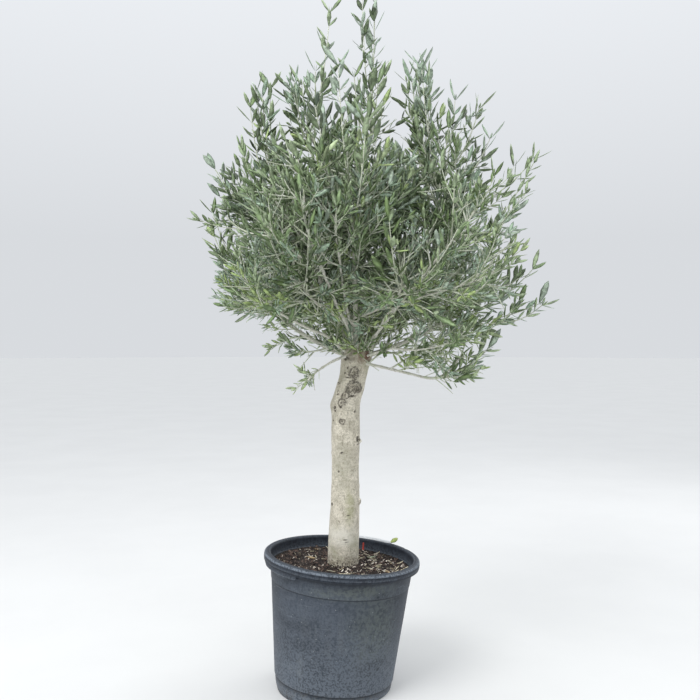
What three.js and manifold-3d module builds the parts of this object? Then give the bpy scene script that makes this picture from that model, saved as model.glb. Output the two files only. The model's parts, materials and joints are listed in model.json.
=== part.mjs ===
// Olive tree grown as a standard: one clear stem with a loose head of upright shoots, in a
// round black nursery pot that leans a little.
// Millimetres, +Z up. The origin is the centre of the pot's flat underside, +X is to the
// right and -Y to the front. Compass angles run from +X (0) by the back (90) to the left (180).

import * as THREE from 'three';
import { mergeVertices } from 'three/addons/utils/BufferGeometryUtils.js';
import Module from 'manifold-3d';

const wasm = await Module();
wasm.setup();

const CLEARANCE = 0.3; // between two pieces that touch

// The pot, a moulded nursery container of about 85 litres. Heights are along its own axis.
const POT = {
  lean: 4, // degrees towards +X; the foot is cut level
  height: 465,
  footRadius: 196,
  chamfer: 14,
  wallFootRadius: 205,
  wallTopRadius: 252,
  seamHeight: 40,
  seamStep: 2.5, // the wall stands out this far above the seam
  ridgeHeight: 374,
  ridge: 1.6, // how far the wall stands out above the ridge line
  rimRadius: 275,
  rimHeight: 29,
  rimEdge: 5, // rounding of the rim
  rimInnerRadius: 250,
  wall: 4,
  floor: 5,
  innerStepDepth: 38, // the ring inside, below the rim's top
  segments: 32,
  buried: 30, // lathe stock below the foot, cut away level
};
// A skirt under the rim; its ends are angles from the front
const GRIP = { from: -75, to: -34, height: 13, overlap: 3, radius: 271, steps: 6 };
const DRAIN = { holes: 8, radius: 11, circle: 165, sides: 8 };

// The compost that fills the pot. The stem stands on a small level pad in it.
const SOIL = {
  depthBelowRim: 41,
  roughness: 7,
  rings: 3,
  segments: 20,
  padRadius: 64,
  padDepth: 30,
  padSides: 24,
  stock: 60, // how deep the discs are that shape its top
  seed: 7,
};

// Stem stations from the compost to the head: height, centre X and radius.
const TRUNK = {
  ground: 430,
  meanRadius: 50,
  sides: 14,
  rings: 20,
  stations: [
    [390, 33.5, 55],
    [541, 39, 54],
    [636, 42, 51],
    [760, 44, 47.5],
    [897, 44.5, 50.5],
    [993, 46, 50.5],
    [1042, 58, 50.5],
    [1095, 71, 48.5],
    [1160, 84, 53],
    [1188, 90, 50],
    [1206, 94, 36],
    [1213, 95, 18],
  ],
};
// Knots on the stem: compass angle, height, spread and how far each stands proud.
const BURLS = [
  { angle: 278, height: 1056, spread: 30, proud: 6 },
  { angle: 300, height: 1010, spread: 34, proud: 9 },
  { angle: 244, height: 1003, spread: 26, proud: 6 },
  { angle: 250, height: 925, spread: 24, proud: 4 },
  { angle: 196, height: 990, spread: 34, proud: 12 },
  { angle: 292, height: 866, spread: 22, proud: 5 },
  { angle: 262, height: 1109, spread: 22, proud: 4 },
  { angle: 95, height: 1030, spread: 34, proud: 7 },
  { angle: 60, height: 780, spread: 26, proud: 4 },
];

// Boughs. Each leaves the stem head at a point, or its parent bough at a fraction of its
// length, and rises from its first angle to its last one.
const BOUGHS = [
  {
    name: 'bough_left', start: [74, -14, 1172],
    compass: 181, rise: [63, 69], length: 390, radii: [10.5, 6.5],
  },
  {
    name: 'bough_right', start: [99, 2, 1172],
    compass: 2, rise: [66, 54], length: 470, radii: [11, 6.5],
  },
  {
    name: 'bough_front', start: [81, -26, 1168],
    compass: 268, rise: [60, 56], length: 410, radii: [9.5, 6],
  },
  {
    name: 'bough_back', start: [88, 27, 1172],
    compass: 88, rise: [60, 56], length: 410, radii: [10, 6],
  },
  {
    name: 'bough_centre', start: [92, 6, 1190],
    compass: 75, rise: [80, 86], length: 570, radii: [9, 6],
  },
  {
    name: 'bough_left_low', start: [62, -8, 1160],
    compass: 182, rise: [18, 40], length: 275, radii: [8, 5.5],
  },
  {
    name: 'bough_right_low', start: [104, -18, 1158],
    compass: 352, rise: [18, 24], length: 235, radii: [8, 5.5],
  },
  {
    name: 'bough_right_hanging', start: [100, -28, 1140],
    compass: 350, rise: [-12, -14], length: 230, radii: [5, 4],
  },
  {
    name: 'bough_left_hanging', start: [60, -30, 1165],
    compass: 192, rise: [-12, -48], length: 175, radii: [4.5, 3],
  },
  {
    name: 'bough_top_left', parent: 'bough_left', along: 0.86,
    compass: 30, rise: [70, 84], length: 255, radii: [6.5, 5],
  },
  {
    name: 'bough_front_left', parent: 'bough_front', along: 0.3,
    compass: 222, rise: [15, 25], length: 165, radii: [7, 5.5],
  },
  {
    name: 'bough_front_right', parent: 'bough_front', along: 0.36,
    compass: 316, rise: [12, 22], length: 170, radii: [7, 5.5],
  },
  {
    name: 'bough_back_left', parent: 'bough_back', along: 0.3,
    compass: 140, rise: [12, 22], length: 170, radii: [7, 5.5],
  },
  {
    name: 'bough_back_right', parent: 'bough_back', along: 0.36,
    compass: 40, rise: [12, 22], length: 170, radii: [7, 5.5],
  },
];
const LIMB = { sides: 6, steps: 5 };

// Masses of foliage. Each fills a round space at the tip of its bough. A leader is a long
// shoot that stands out of the space: the share of the stem where it leaves, and its tip.
const MASSES = [
  {
    name: 'mass_left_low',
    bough: 'bough_left_low',
    centre: [-240, -20, 1430],
    radius: 205,
    leaders: [{ along: 0.3, tip: [-430, -40, 1600] }, { along: 0.15, tip: [-400, -60, 1410] }],
  },
  {
    name: 'mass_left_high',
    bough: 'bough_left',
    centre: [-225, 5, 1735],
    radius: 215,
    leaders: [{ along: 0.6, tip: [-275, -20, 2115] }, { along: 0.2, tip: [-440, 10, 1840] }],
  },
  {
    name: 'mass_top_left',
    bough: 'bough_top_left',
    centre: [-75, 0, 1940],
    radius: 190,
    leaders: [
      { along: 0.6, tip: [-170, 0, 2130] },
      { along: 0.8, tip: [-60, -30, 2185] },
      { along: 0.95, tip: [-5, 0, 2400] },
    ],
  },
  {
    name: 'mass_top',
    bough: 'bough_centre',
    centre: [125, 10, 1965],
    radius: 190,
    leaders: [
      { along: 0.9, tip: [100, -10, 2448] },
      { along: 0.7, tip: [150, 20, 2440] },
    ],
  },
  {
    name: 'mass_right_high',
    bough: 'bough_right',
    centre: [350, 0, 1800],
    radius: 225,
    leaders: [
      { along: 0.7, tip: [290, -10, 2215] },
      { along: 0.8, tip: [335, 40, 2200] },
      { along: 0.9, tip: [530, 10, 2060] },
      { along: 0.3, tip: [725, -30, 1865] },
    ],
  },
  {
    name: 'mass_right_low',
    bough: 'bough_right_low',
    centre: [385, -30, 1425],
    radius: 210,
    leaders: [
      { along: 0.15, tip: [740, -70, 1350] },
      { along: 0.3, tip: [725, -20, 1480] },
      { along: 0.5, tip: [655, 20, 1560] },
    ],
  },
  {
    name: 'mass_right_skirt',
    bough: 'bough_right_hanging',
    centre: [430, -80, 1165],
    radius: 155,
    leaders: [{ along: 0.4, tip: [562, -70, 1205] }, { along: 0.1, tip: [470, -120, 1100] }],
  },
  {
    name: 'mass_front_high',
    bough: 'bough_front',
    centre: [60, -235, 1735],
    radius: 210,
    leaders: [{ along: 0.8, tip: [20, -300, 2110] }, { along: 0.3, tip: [110, -500, 1880] }],
  },
  {
    name: 'mass_front_left',
    bough: 'bough_front_left',
    centre: [-95, -285, 1415],
    radius: 210,
    leaders: [{ along: 0.3, tip: [-210, -520, 1600] }],
  },
  {
    name: 'mass_front_right',
    bough: 'bough_front_right',
    centre: [215, -285, 1410],
    radius: 210,
    leaders: [{ along: 0.2, tip: [390, -500, 1560] }],
  },
  {
    name: 'mass_back_high',
    bough: 'bough_back',
    centre: [80, 245, 1740],
    radius: 215,
    leaders: [{ along: 0.8, tip: [60, 300, 2120] }, { along: 0.2, tip: [110, 540, 1850] }],
  },
  {
    name: 'mass_back_left',
    bough: 'bough_back_left',
    centre: [-90, 285, 1415],
    radius: 210,
    leaders: [{ along: 0.3, tip: [-240, 510, 1580] }],
  },
  {
    name: 'mass_back_right',
    bough: 'bough_back_right',
    centre: [230, 285, 1410],
    radius: 210,
    leaders: [{ along: 0.3, tip: [420, 490, 1600] }],
  },
];

// The growth rule of a mass. Its stem runs from the bough's tip through the space. Shoots
// leave the stem towards tips spread evenly over the space, a golden angle apart, and bend
// upwards. Leaves stand on them in pairs, with one more at the tip.
const GROWTH = {
  stemReach: [0.1, 0.05], // the stem's end, outwards and upwards, as shares of the radius
  stemKnee: 0.45, // how far it runs on in the bough's direction before it turns
  stemPoints: 12,
  stemSteps: 4,
  shootsPerRadius: 0.054, // how many shoots a space holds for each millimetre of its radius
  goldenAngle: 137.5,
  massTurn: 50, // degrees between the first shoots of one mass and of the next
  massSeed: 100,
  cover: 1.72, // how far down the space the shoots go, where 2 is the whole of it
  firstShoot: 0.12, // the share of the stem where its lowest shoot leaves
  lastShoot: 0.96,
  knee: [0.62, 0.22], // where a shoot turns upwards, as shares of its run and its climb
  jitter: 0.12,
  pathStep: 20,
  shortest: 40,
  leafSpacing: 56,
  space: 1.06, // a leaf may stand this far out of the round space
  margin: 1.5,
  apart: 15, // between the leaves and twigs of two shoots
  shared: 3, // steps at the foot of a shoot where others may come close
  freeSteps: 2, // steps at its foot that may lie near the bough
  nodePlace: 0.6, // where a node lies in its stretch of the shoot
};
const TWIG = { radius: 4, tipRadius: 2.6, sides: 3, node: 9 };
// One leaf stands for a spray, so it is larger than life.
const LEAF = {
  length: 150,
  width: 50,
  thickness: 3.4,
  widest: 0.46, // the share of its length where it is widest
  spread: 42, // degrees from its twig
  scales: [1.05, 0.85], // at the foot and at the end of a shoot
  tipShare: 0.8, // the leaf at a shoot's tip
};

// Shapes and solids

const radians = THREE.MathUtils.degToRad;
const mix = THREE.MathUtils.lerp;

function toSolid(geometry) {
  geometry.deleteAttribute('normal');
  geometry.deleteAttribute('uv');
  const merged = mergeVertices(geometry, 1e-4);
  const index = merged.index.array;
  const triangles = [];
  for (let i = 0; i < index.length; i += 3) {
    const [a, b, c] = [index[i], index[i + 1], index[i + 2]];
    if (a !== b && b !== c && c !== a) {
      triangles.push(a, b, c); // a triangle at a pole has no area and is left out
    }
  }
  return new wasm.Manifold(new wasm.Mesh({
    numProp: 3,
    vertProperties: new Float32Array(merged.attributes.position.array),
    triVerts: new Uint32Array(triangles),
  }));
}

// The largest piece of a solid, without loose scraps and with any sealed hollow filled
function largestPiece(solid) {
  const pieces = solid.decompose();
  return pieces.reduce((best, piece) => (piece.volume() > best.volume() ? piece : best));
}

function toMesh(name, solid, material) {
  const { vertProperties, triVerts } = largestPiece(solid).getMesh();
  const geometry = new THREE.BufferGeometry();
  geometry.setAttribute('position', new THREE.BufferAttribute(vertProperties, 3));
  geometry.setIndex(new THREE.BufferAttribute(triVerts, 1));
  geometry.computeVertexNormals();
  const mesh = new THREE.Mesh(geometry, material);
  mesh.name = name;
  return mesh;
}

// A box over everything below a level
function slabBelow(level) {
  const side = 1000;
  const geometry = new THREE.BoxGeometry(side, side, side);
  geometry.translate(0, 0, level - side / 2);
  return toSolid(geometry);
}

// A direction from a compass angle and a rise above the horizontal, in degrees
function heading(compass, rise) {
  const flat = Math.cos(radians(rise));
  return new THREE.Vector3(
    flat * Math.cos(radians(compass)),
    flat * Math.sin(radians(compass)),
    Math.sin(radians(rise)),
  );
}

// A repeatable source of numbers from 0 to 1, so that the tree grows the same way each time
function seededSource(seed) {
  const factor = 1664525;
  const addend = 1013904223;
  const range = 2 ** 32;
  let state = seed;
  const next = () => {
    state = (state * factor + addend) % range;
    return state / range;
  };
  for (let i = 0; i < 4; i += 1) {
    next(); // neighbouring seeds drift apart
  }
  return next;
}

// The pot

const leanWithPot = (geometry) => geometry.rotateX(Math.PI / 2).rotateY(radians(POT.lean));

function potLathe(profile) {
  const points = profile.map(([radius, height]) => new THREE.Vector2(radius, height));
  return toSolid(leanWithPot(new THREE.LatheGeometry(points, POT.segments)));
}

// Radius of the plain outer wall at a height along the pot's axis
function wallRadius(height) {
  const share = (height - POT.chamfer) / (POT.height - POT.rimHeight - POT.chamfer);
  return mix(POT.wallFootRadius, POT.wallTopRadius, share);
}

function potOutside() {
  const rimFoot = POT.height - POT.rimHeight;
  const { rimRadius, rimEdge, height, seamHeight, seamStep, ridgeHeight, ridge } = POT;
  return potLathe([
    [0, -POT.buried],
    [POT.footRadius - POT.wall, -POT.buried],
    [wallRadius(POT.chamfer), POT.chamfer],
    [wallRadius(seamHeight), seamHeight],
    [wallRadius(seamHeight) + seamStep, seamHeight + seamStep],
    [wallRadius(ridgeHeight) - ridge, ridgeHeight],
    [wallRadius(ridgeHeight), ridgeHeight + ridge],
    [wallRadius(rimFoot), rimFoot],
    [rimRadius - rimEdge, rimFoot],
    [rimRadius, rimFoot + 1.5 * rimEdge],
    [rimRadius, height - 2 * rimEdge],
    [rimRadius - rimEdge, height - rimEdge / 2],
    [rimRadius - 2.5 * rimEdge, height],
    [0, height],
  ]);
}

function potInside(inset) {
  const inner = (height) => wallRadius(height) - POT.wall - inset;
  const step = POT.height - POT.innerStepDepth;
  return potLathe([
    [0, -POT.buried],
    [inner(-POT.buried), -POT.buried],
    [inner(step - POT.wall), step - POT.wall],
    [POT.rimInnerRadius - inset, step],
    [POT.rimInnerRadius - inset, POT.height - 2 * POT.rimEdge],
    [POT.rimInnerRadius + POT.rimEdge, POT.height + 1],
    [0, POT.height + 1],
  ]);
}

// The skirt that hangs under the rim on two opposite sides and serves as a grip
function gripSolid(turn) {
  const inner = POT.wallTopRadius - POT.wall / 2;
  const front = -90;
  const outline = new THREE.Shape();
  const from = radians(front + GRIP.from + turn);
  const to = radians(front + GRIP.to + turn);
  outline.absarc(0, 0, GRIP.radius, from, to, false);
  outline.absarc(0, 0, inner, to, from, true);
  const geometry = new THREE.ExtrudeGeometry(outline, {
    depth: GRIP.height + GRIP.overlap,
    bevelEnabled: false,
    curveSegments: GRIP.steps,
  });
  geometry.translate(0, 0, POT.height - POT.rimHeight - GRIP.height);
  geometry.rotateY(radians(POT.lean));
  return toSolid(geometry);
}

function drainHole(index) {
  const geometry = new THREE.CylinderGeometry(DRAIN.radius, DRAIN.radius, POT.floor * 4, DRAIN.sides);
  geometry.rotateX(Math.PI / 2);
  const angle = (2 * Math.PI * (index + 0.5)) / DRAIN.holes;
  geometry.translate(DRAIN.circle * Math.cos(angle), DRAIN.circle * Math.sin(angle), 0);
  return toSolid(geometry);
}

function makePot() {
  let pot = potOutside().add(gripSolid(0)).add(gripSolid(180));
  pot = pot.subtract(slabBelow(0));
  pot = pot.subtract(potInside(0).subtract(slabBelow(POT.floor)));
  for (let i = 0; i < DRAIN.holes; i += 1) {
    pot = pot.subtract(drainHole(i));
  }
  const material = new THREE.MeshStandardMaterial({ color: 0x3d444d, roughness: 0.6, metalness: 0 });
  return toMesh('pot', pot, material);
}

// The compost

// A flat-bottomed disc whose top is uneven, in the pot's own leaning frame
function compostTop() {
  const top = POT.height - SOIL.depthBelowRim;
  const random = seededSource(SOIL.seed);
  const outer = POT.rimRadius;
  const points = [[0, top - SOIL.stock], [outer, top - SOIL.stock]];
  for (let ring = SOIL.rings; ring >= 0; ring -= 1) {
    points.push([(outer * ring) / SOIL.rings, top]);
  }
  const profile = points.map(([radius, height]) => new THREE.Vector2(radius, height));
  const geometry = new THREE.LatheGeometry(profile, SOIL.segments);
  const position = geometry.attributes.position;
  const rows = profile.length;
  for (let i = 0; i < position.count; i += 1) {
    const onTop = i % rows > 1 && i % rows < rows - 1;
    const seam = i >= position.count - rows;
    if (onTop) {
      const lift = (random() - 0.5) * 2 * SOIL.roughness;
      const height = seam ? position.getY(i % rows) : position.getY(i) + lift;
      position.setY(i, height);
    }
  }
  return toSolid(leanWithPot(geometry));
}

function padCylinder(radius, low, high) {
  const geometry = new THREE.CylinderGeometry(radius, radius, high - low, SOIL.padSides);
  geometry.rotateX(Math.PI / 2);
  const [, centre] = TRUNK.stations[0];
  geometry.translate(centre, 0, (high + low) / 2);
  return toSolid(geometry);
}

function makeCompost() {
  const level = TRUNK.ground - CLEARANCE;
  const pad = padCylinder(SOIL.padRadius, level - SOIL.padDepth, level);
  const airOverPad = padCylinder(SOIL.padRadius, level, level + SOIL.padDepth);
  const filling = potInside(CLEARANCE).subtract(slabBelow(POT.floor + CLEARANCE));
  const air = potInside(0).subtract(compostTop()).subtract(slabBelow(TRUNK.ground - SOIL.stock));
  const soil = filling.subtract(air).add(pad).subtract(airOverPad);
  const material = new THREE.MeshStandardMaterial({ color: 0x4a3c30, roughness: 0.95, metalness: 0 });
  return toMesh('compost', soil, material);
}

// The stem

const trunkSpine = new THREE.CatmullRomCurve3(
  TRUNK.stations.map(([height, centre, radius]) => new THREE.Vector3(centre, radius, height)),
);

function burlHeight(angle, height) {
  const falloff = 2.5;
  let proud = 0;
  for (const burl of BURLS) {
    const turn = radians(angle - burl.angle);
    const around = Math.atan2(Math.sin(turn), Math.cos(turn)) * TRUNK.meanRadius;
    const apart = Math.hypot(around, height - burl.height) / burl.spread;
    proud += burl.proud * Math.exp(-falloff * apart * apart);
  }
  return proud;
}

function trunkSolid(grow) {
  const geometry = new THREE.CylinderGeometry(1, 1, 1, TRUNK.sides, TRUNK.rings);
  geometry.rotateX(Math.PI / 2);
  const position = geometry.attributes.position;
  for (let i = 0; i < position.count; i += 1) {
    const along = Math.round((position.getZ(i) + 0.5) * TRUNK.rings) / TRUNK.rings;
    const station = trunkSpine.getPointAt(along);
    const [x, y] = [position.getX(i), position.getY(i)];
    const angle = THREE.MathUtils.radToDeg(Math.atan2(y, x));
    const lift = along === 1 ? grow : 0;
    const radius = station.y + grow + burlHeight(angle, station.z);
    position.setXYZ(i, station.x + x * radius, y * radius, station.z + lift);
  }
  return toSolid(geometry);
}

function makeTrunk() {
  const trunk = trunkSolid(0).subtract(slabBelow(TRUNK.ground));
  const material = new THREE.MeshStandardMaterial({ color: 0xb9b29f, roughness: 0.85, metalness: 0 });
  return toMesh('trunk', trunk, material);
}

// Limbs

// Points of a limb that turns evenly from its first rise to its last
function growPath(start, compass, rise, length) {
  const count = Math.max(2, Math.round(length / GROWTH.pathStep));
  const points = [start.clone()];
  for (let i = 0; i < count; i += 1) {
    const share = (i + 0.5) / count;
    const step = heading(compass, mix(rise[0], rise[1], share)).multiplyScalar(length / count);
    points.push(points[i].clone().add(step));
  }
  return points;
}

function limbSolid(points, radii, sides, steps, grow = 0) {
  const path = new THREE.CatmullRomCurve3(points);
  const frames = path.computeFrenetFrames(steps, false);
  const geometry = new THREE.CylinderGeometry(1, 1, 1, sides, steps);
  const position = geometry.attributes.position;
  for (let i = 0; i < position.count; i += 1) {
    const ring = Math.round((position.getY(i) + 0.5) * steps);
    const radius = mix(radii[0], radii[1], ring / steps) + grow;
    const place = path.getPointAt(ring / steps)
      .addScaledVector(frames.normals[ring], position.getX(i) * radius)
      .addScaledVector(frames.binormals[ring], -position.getZ(i) * radius);
    position.setXYZ(i, place.x, place.y, place.z);
  }
  return toSolid(geometry);
}

const limbs = new Map();

function makeBoughs() {
  const material = new THREE.MeshStandardMaterial({ color: 0x8f8c7d, roughness: 0.85, metalness: 0 });
  const head = trunkSolid(CLEARANCE);
  return BOUGHS.map((bough) => {
    const parent = limbs.get(bough.parent);
    const start = parent
      ? new THREE.CatmullRomCurve3(parent.points).getPointAt(bough.along)
      : new THREE.Vector3(...bough.start);
    const points = growPath(start, bough.compass, bough.rise, bough.length);
    let solid = limbSolid(points, bough.radii, LIMB.sides, LIMB.steps);
    solid = solid.subtract(head);
    for (const other of limbs.values()) {
      solid = solid.subtract(limbSolid(other.points, other.radii, LIMB.sides, LIMB.steps, CLEARANCE));
    }
    limbs.set(bough.name, { points, radii: bough.radii });
    return toMesh(bough.name, solid, material);
  });
}

// Masses of foliage

const centreOf = (mass) => new THREE.Vector3(...mass.centre);

// How far a point lies inside a mass's own share of the crown. The share is bounded by a
// plane towards each other mass, so it has flat sides and no two shares meet.
function depthInShare(mass, point) {
  const own = point.distanceToSquared(centreOf(mass)) - mass.radius ** 2;
  let depth = Infinity;
  for (const other of MASSES) {
    if (other !== mass) {
      const apart = centreOf(other).distanceTo(centreOf(mass));
      const power = point.distanceToSquared(centreOf(other)) - other.radius ** 2;
      depth = Math.min(depth, (power - own) / (2 * apart));
    }
  }
  return depth;
}

// Points along every limb, to keep shoots and leaves clear of the wood
function limbProbes() {
  const probes = [];
  for (const { points, radii } of limbs.values()) {
    points.forEach((point, i) => {
      probes.push({ point, radius: mix(radii[0], radii[1], i / (points.length - 1)) });
    });
  }
  return probes;
}

function clearOfLimbs(probes, point, room) {
  return probes.every((probe) => {
    const reach = probe.radius + room + GROWTH.pathStep / 4;
    return probe.point.distanceToSquared(point) > reach * reach;
  });
}

// The part of a shoot that stays in the mass's share and off the limbs
function keepInside(mass, probes, points) {
  const room = TWIG.radius + GROWTH.margin;
  const kept = [points[0]];
  for (let i = 1; i < points.length; i += 1) {
    const inside = depthInShare(mass, points[i]) > room;
    const clear = i < GROWTH.freeSteps || clearOfLimbs(probes, points[i], room);
    if (!inside || !clear) {
      break;
    }
    kept.push(points[i]);
  }
  return kept;
}

function stemPath(mass) {
  const bough = limbs.get(mass.bough);
  const [before, tip] = bough.points.slice(-2);
  const along = tip.clone().sub(before).normalize();
  const centre = centreOf(mass);
  const outwards = centre.clone().sub(new THREE.Vector3(TRUNK.stations.at(-1)[1], 0, centre.z));
  const end = centre.clone().addScaledVector(outwards.normalize(), mass.radius * GROWTH.stemReach[0]);
  end.z += mass.radius * GROWTH.stemReach[1];
  const start = tip.clone().addScaledVector(along, CLEARANCE);
  const knee = start.clone().addScaledVector(along, start.distanceTo(end) * GROWTH.stemKnee);
  return new THREE.QuadraticBezierCurve3(start, knee, end).getSpacedPoints(GROWTH.stemPoints);
}

// A point in the middle of the stem's solid, which is straight between its rings
function placeOnStem(points, share) {
  const curve = new THREE.CatmullRomCurve3(points);
  const ring = Math.min(GROWTH.stemSteps - 1, Math.floor(share * GROWTH.stemSteps));
  const from = curve.getPointAt(ring / GROWTH.stemSteps);
  const to = curve.getPointAt((ring + 1) / GROWTH.stemSteps);
  return from.lerp(to, share * GROWTH.stemSteps - ring);
}

// A shoot runs out at first and bends upwards to its tip
function shootPath(start, tip) {
  const run = tip.clone().sub(start);
  const knee = start.clone();
  knee.x += run.x * GROWTH.knee[0];
  knee.y += run.y * GROWTH.knee[0];
  knee.z += run.z * GROWTH.knee[1];
  const curve = new THREE.QuadraticBezierCurve3(start, knee, tip);
  const leafEnd = LEAF.length * LEAF.tipShare;
  const length = curve.getLength() - leafEnd;
  if (length < GROWTH.shortest) {
    return [];
  }
  const steps = Math.round(length / GROWTH.pathStep);
  const points = [];
  for (let i = 0; i <= steps; i += 1) {
    points.push(curve.getPointAt((i / steps) * (length / curve.getLength())));
  }
  return points;
}

// Tips spread over a mass's space, each drawn in until it lies in the mass's share
function shootTips(mass, order) {
  const centre = centreOf(mass);
  const count = Math.round(mass.radius * GROWTH.shootsPerRadius);
  const tips = [];
  for (let i = 0; i < count; i += 1) {
    const random = seededSource(order * GROWTH.massSeed + i + 1);
    const height = 1 - ((i + 0.5) * GROWTH.cover) / count;
    const flat = Math.sqrt(1 - height * height);
    const compass = radians(order * GROWTH.massTurn + i * GROWTH.goldenAngle);
    const direction = new THREE.Vector3(flat * Math.cos(compass), flat * Math.sin(compass), height);
    const tip = centre.clone().addScaledVector(direction, mass.radius * (1 - GROWTH.jitter * random()));
    while (depthInShare(mass, tip) < LEAF.width / 4 && tip.distanceTo(centre) > GROWTH.pathStep) {
      tip.addScaledVector(direction, -GROWTH.pathStep / 2);
    }
    tips.push(tip);
  }
  return tips;
}

// The middle and the corners of a leaf. It stands on a three-cornered foot and has two edges
// and a rib at its widest place, and a tip. Its upper side faces the end of its twig.
function leafShape(root, direction, across, scale) {
  const length = LEAF.length * scale;
  const up = direction.clone().cross(across).normalize();
  const waist = root.clone().addScaledVector(direction, length * LEAF.widest);
  const half = (LEAF.width * scale) / 2;
  return {
    left: waist.clone().addScaledVector(across, -half),
    right: waist.clone().addScaledVector(across, half),
    rib: waist.clone().addScaledVector(up, LEAF.thickness),
    tip: root.clone().addScaledVector(direction, length),
    root,
  };
}

// A twig of three sides with its leaves, built as one closed skin. Two rings close together
// make a node, and a leaf grows out of one side between them.
class ShootSkin {
  constructor() {
    this.points = [];
    this.triangles = [];
  }

  addPoint(point) {
    this.points.push(point.clone());
    return this.points.length - 1;
  }

  addLeaf([a, b, c], leaf) {
    const corners = [leaf.left, leaf.right, leaf.rib, leaf.tip];
    const [left, right, rib, tip] = corners.map((corner) => this.addPoint(corner));
    this.triangles.push(
      a, b, right, a, right, left,
      b, c, rib, b, rib, right,
      c, a, left, c, left, rib,
      left, right, tip, right, rib, tip, rib, left, tip,
    );
  }

  toSolid() {
    const geometry = new THREE.BufferGeometry().setFromPoints(this.points);
    geometry.setIndex(this.triangles);
    return toSolid(geometry);
  }
}

// Rings of three corners along a curve, each turned as little as possible from the last
function twigRings(curve, stations) {
  const length = stations.at(-1);
  const normal = new THREE.Vector3();
  return stations.map((station, i) => {
    const share = station / length;
    const along = curve.getTangentAt(share);
    if (i === 0) {
      normal.crossVectors(new THREE.Vector3(0, 0, 1), along);
      if (normal.lengthSq() < 1e-3) {
        normal.set(1, 0, 0);
      }
    }
    normal.addScaledVector(along, -normal.dot(along)).normalize();
    const centre = curve.getPointAt(share);
    const radius = mix(TWIG.radius, TWIG.tipRadius, share);
    const corners = Array.from({ length: TWIG.sides }, (_, k) => {
      const spoke = normal.clone().applyAxisAngle(along, (2 * Math.PI * k) / TWIG.sides);
      return centre.clone().addScaledVector(spoke, radius);
    });
    return { centre, along, corners };
  });
}

// Points spread over a leaf, from near its root to its tip
function leafProbes({ root, left, right, tip }) {
  const middle = [0.3, 0.5, 0.7, 0.85, 1].map((share) => root.clone().lerp(tip, share));
  const edges = [0, 0.4].flatMap((share) => [left, right].map((edge) => edge.clone().lerp(tip, share)));
  return [...middle, ...edges];
}

function leafFits(mass, probes, placed, leaf, leader) {
  const corners = [leaf.root, leaf.left, leaf.right, leaf.rib, leaf.tip];
  if (corners.some((corner) => depthInShare(mass, corner) < GROWTH.margin)) {
    return false;
  }
  if (!leader && leaf.tip.distanceTo(centreOf(mass)) > mass.radius * GROWTH.space) {
    return false;
  }
  const shareStep = 0.15;
  for (let share = 0.1; share <= 1; share += shareStep) {
    const point = leaf.root.clone().lerp(leaf.tip, share);
    const room = (LEAF.width / 2) * Math.min(1, share / LEAF.widest) + GROWTH.margin;
    if (!clearOfLimbs(probes, point, room)) {
      return false;
    }
  }
  const own = leafProbes(leaf);
  return placed.every((other) => own.every((point) => point.distanceTo(other) > GROWTH.apart));
}

// One shoot with its leaves, or nothing where too little of it stays in the mass's share
function shootSolid(mass, probes, placed, path, leader) {
  const kept = path.length > 1 ? keepInside(mass, probes, path) : path;
  const length = (kept.length - 1) * GROWTH.pathStep;
  if (length < GROWTH.shortest) {
    return null;
  }
  const curve = new THREE.CatmullRomCurve3(kept);
  const nodes = Math.max(1, Math.round(length / GROWTH.leafSpacing));
  const stations = [0];
  for (let i = 0; i < nodes; i += 1) {
    const middle = (length * (i + GROWTH.nodePlace)) / nodes;
    stations.push(middle - TWIG.node / 2, middle + TWIG.node / 2);
  }
  stations.push(length);
  const rings = twigRings(curve, stations);
  const skin = new ShootSkin();
  const corners = rings.map((ring) => ring.corners.map((corner) => skin.addPoint(corner)));
  const grown = []; // points on the leaves of this shoot, which don't hinder each other
  const tryLeaf = (foot, root, direction, across, scale) => {
    const leaf = leafShape(root, direction, across, scale);
    const fits = leafFits(mass, probes, placed, leaf, leader);
    if (fits) {
      skin.addLeaf(foot, leaf);
      grown.push(...leafProbes(leaf));
    }
    return fits;
  };
  skin.triangles.push(corners[0][2], corners[0][1], corners[0][0]);
  for (let i = 0; i + 1 < rings.length; i += 1) {
    const node = (i - 1) / 2;
    const { centre, along } = rings[i];
    for (let side = 0; side < TWIG.sides; side += 1) {
      const next = (side + 1) % TWIG.sides;
      const foot = [corners[i][side], corners[i][next], corners[i + 1][next]];
      const across = rings[i].corners[next].clone().sub(rings[i].corners[side]).normalize();
      const outwards = across.clone().cross(along).normalize();
      const direction = along.clone().multiplyScalar(Math.cos(radians(LEAF.spread)));
      direction.addScaledVector(outwards, Math.sin(radians(LEAF.spread)));
      const bears = Number.isInteger(node) && side !== node % TWIG.sides;
      const scale = mix(...LEAF.scales, i / rings.length);
      if (!bears || !tryLeaf(foot, centre, direction, across, scale)) {
        skin.triangles.push(...foot);
      }
      skin.triangles.push(corners[i][side], corners[i + 1][next], corners[i + 1][side]);
    }
  }
  const end = rings.at(-1);
  const across = end.corners[1].clone().sub(end.corners[0]).normalize();
  if (!tryLeaf(corners.at(-1), end.centre, end.along, across, LEAF.tipShare)) {
    skin.triangles.push(...corners.at(-1));
  }
  placed.push(...grown, ...kept.slice(GROWTH.shared));
  return skin.toSolid();
}

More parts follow.
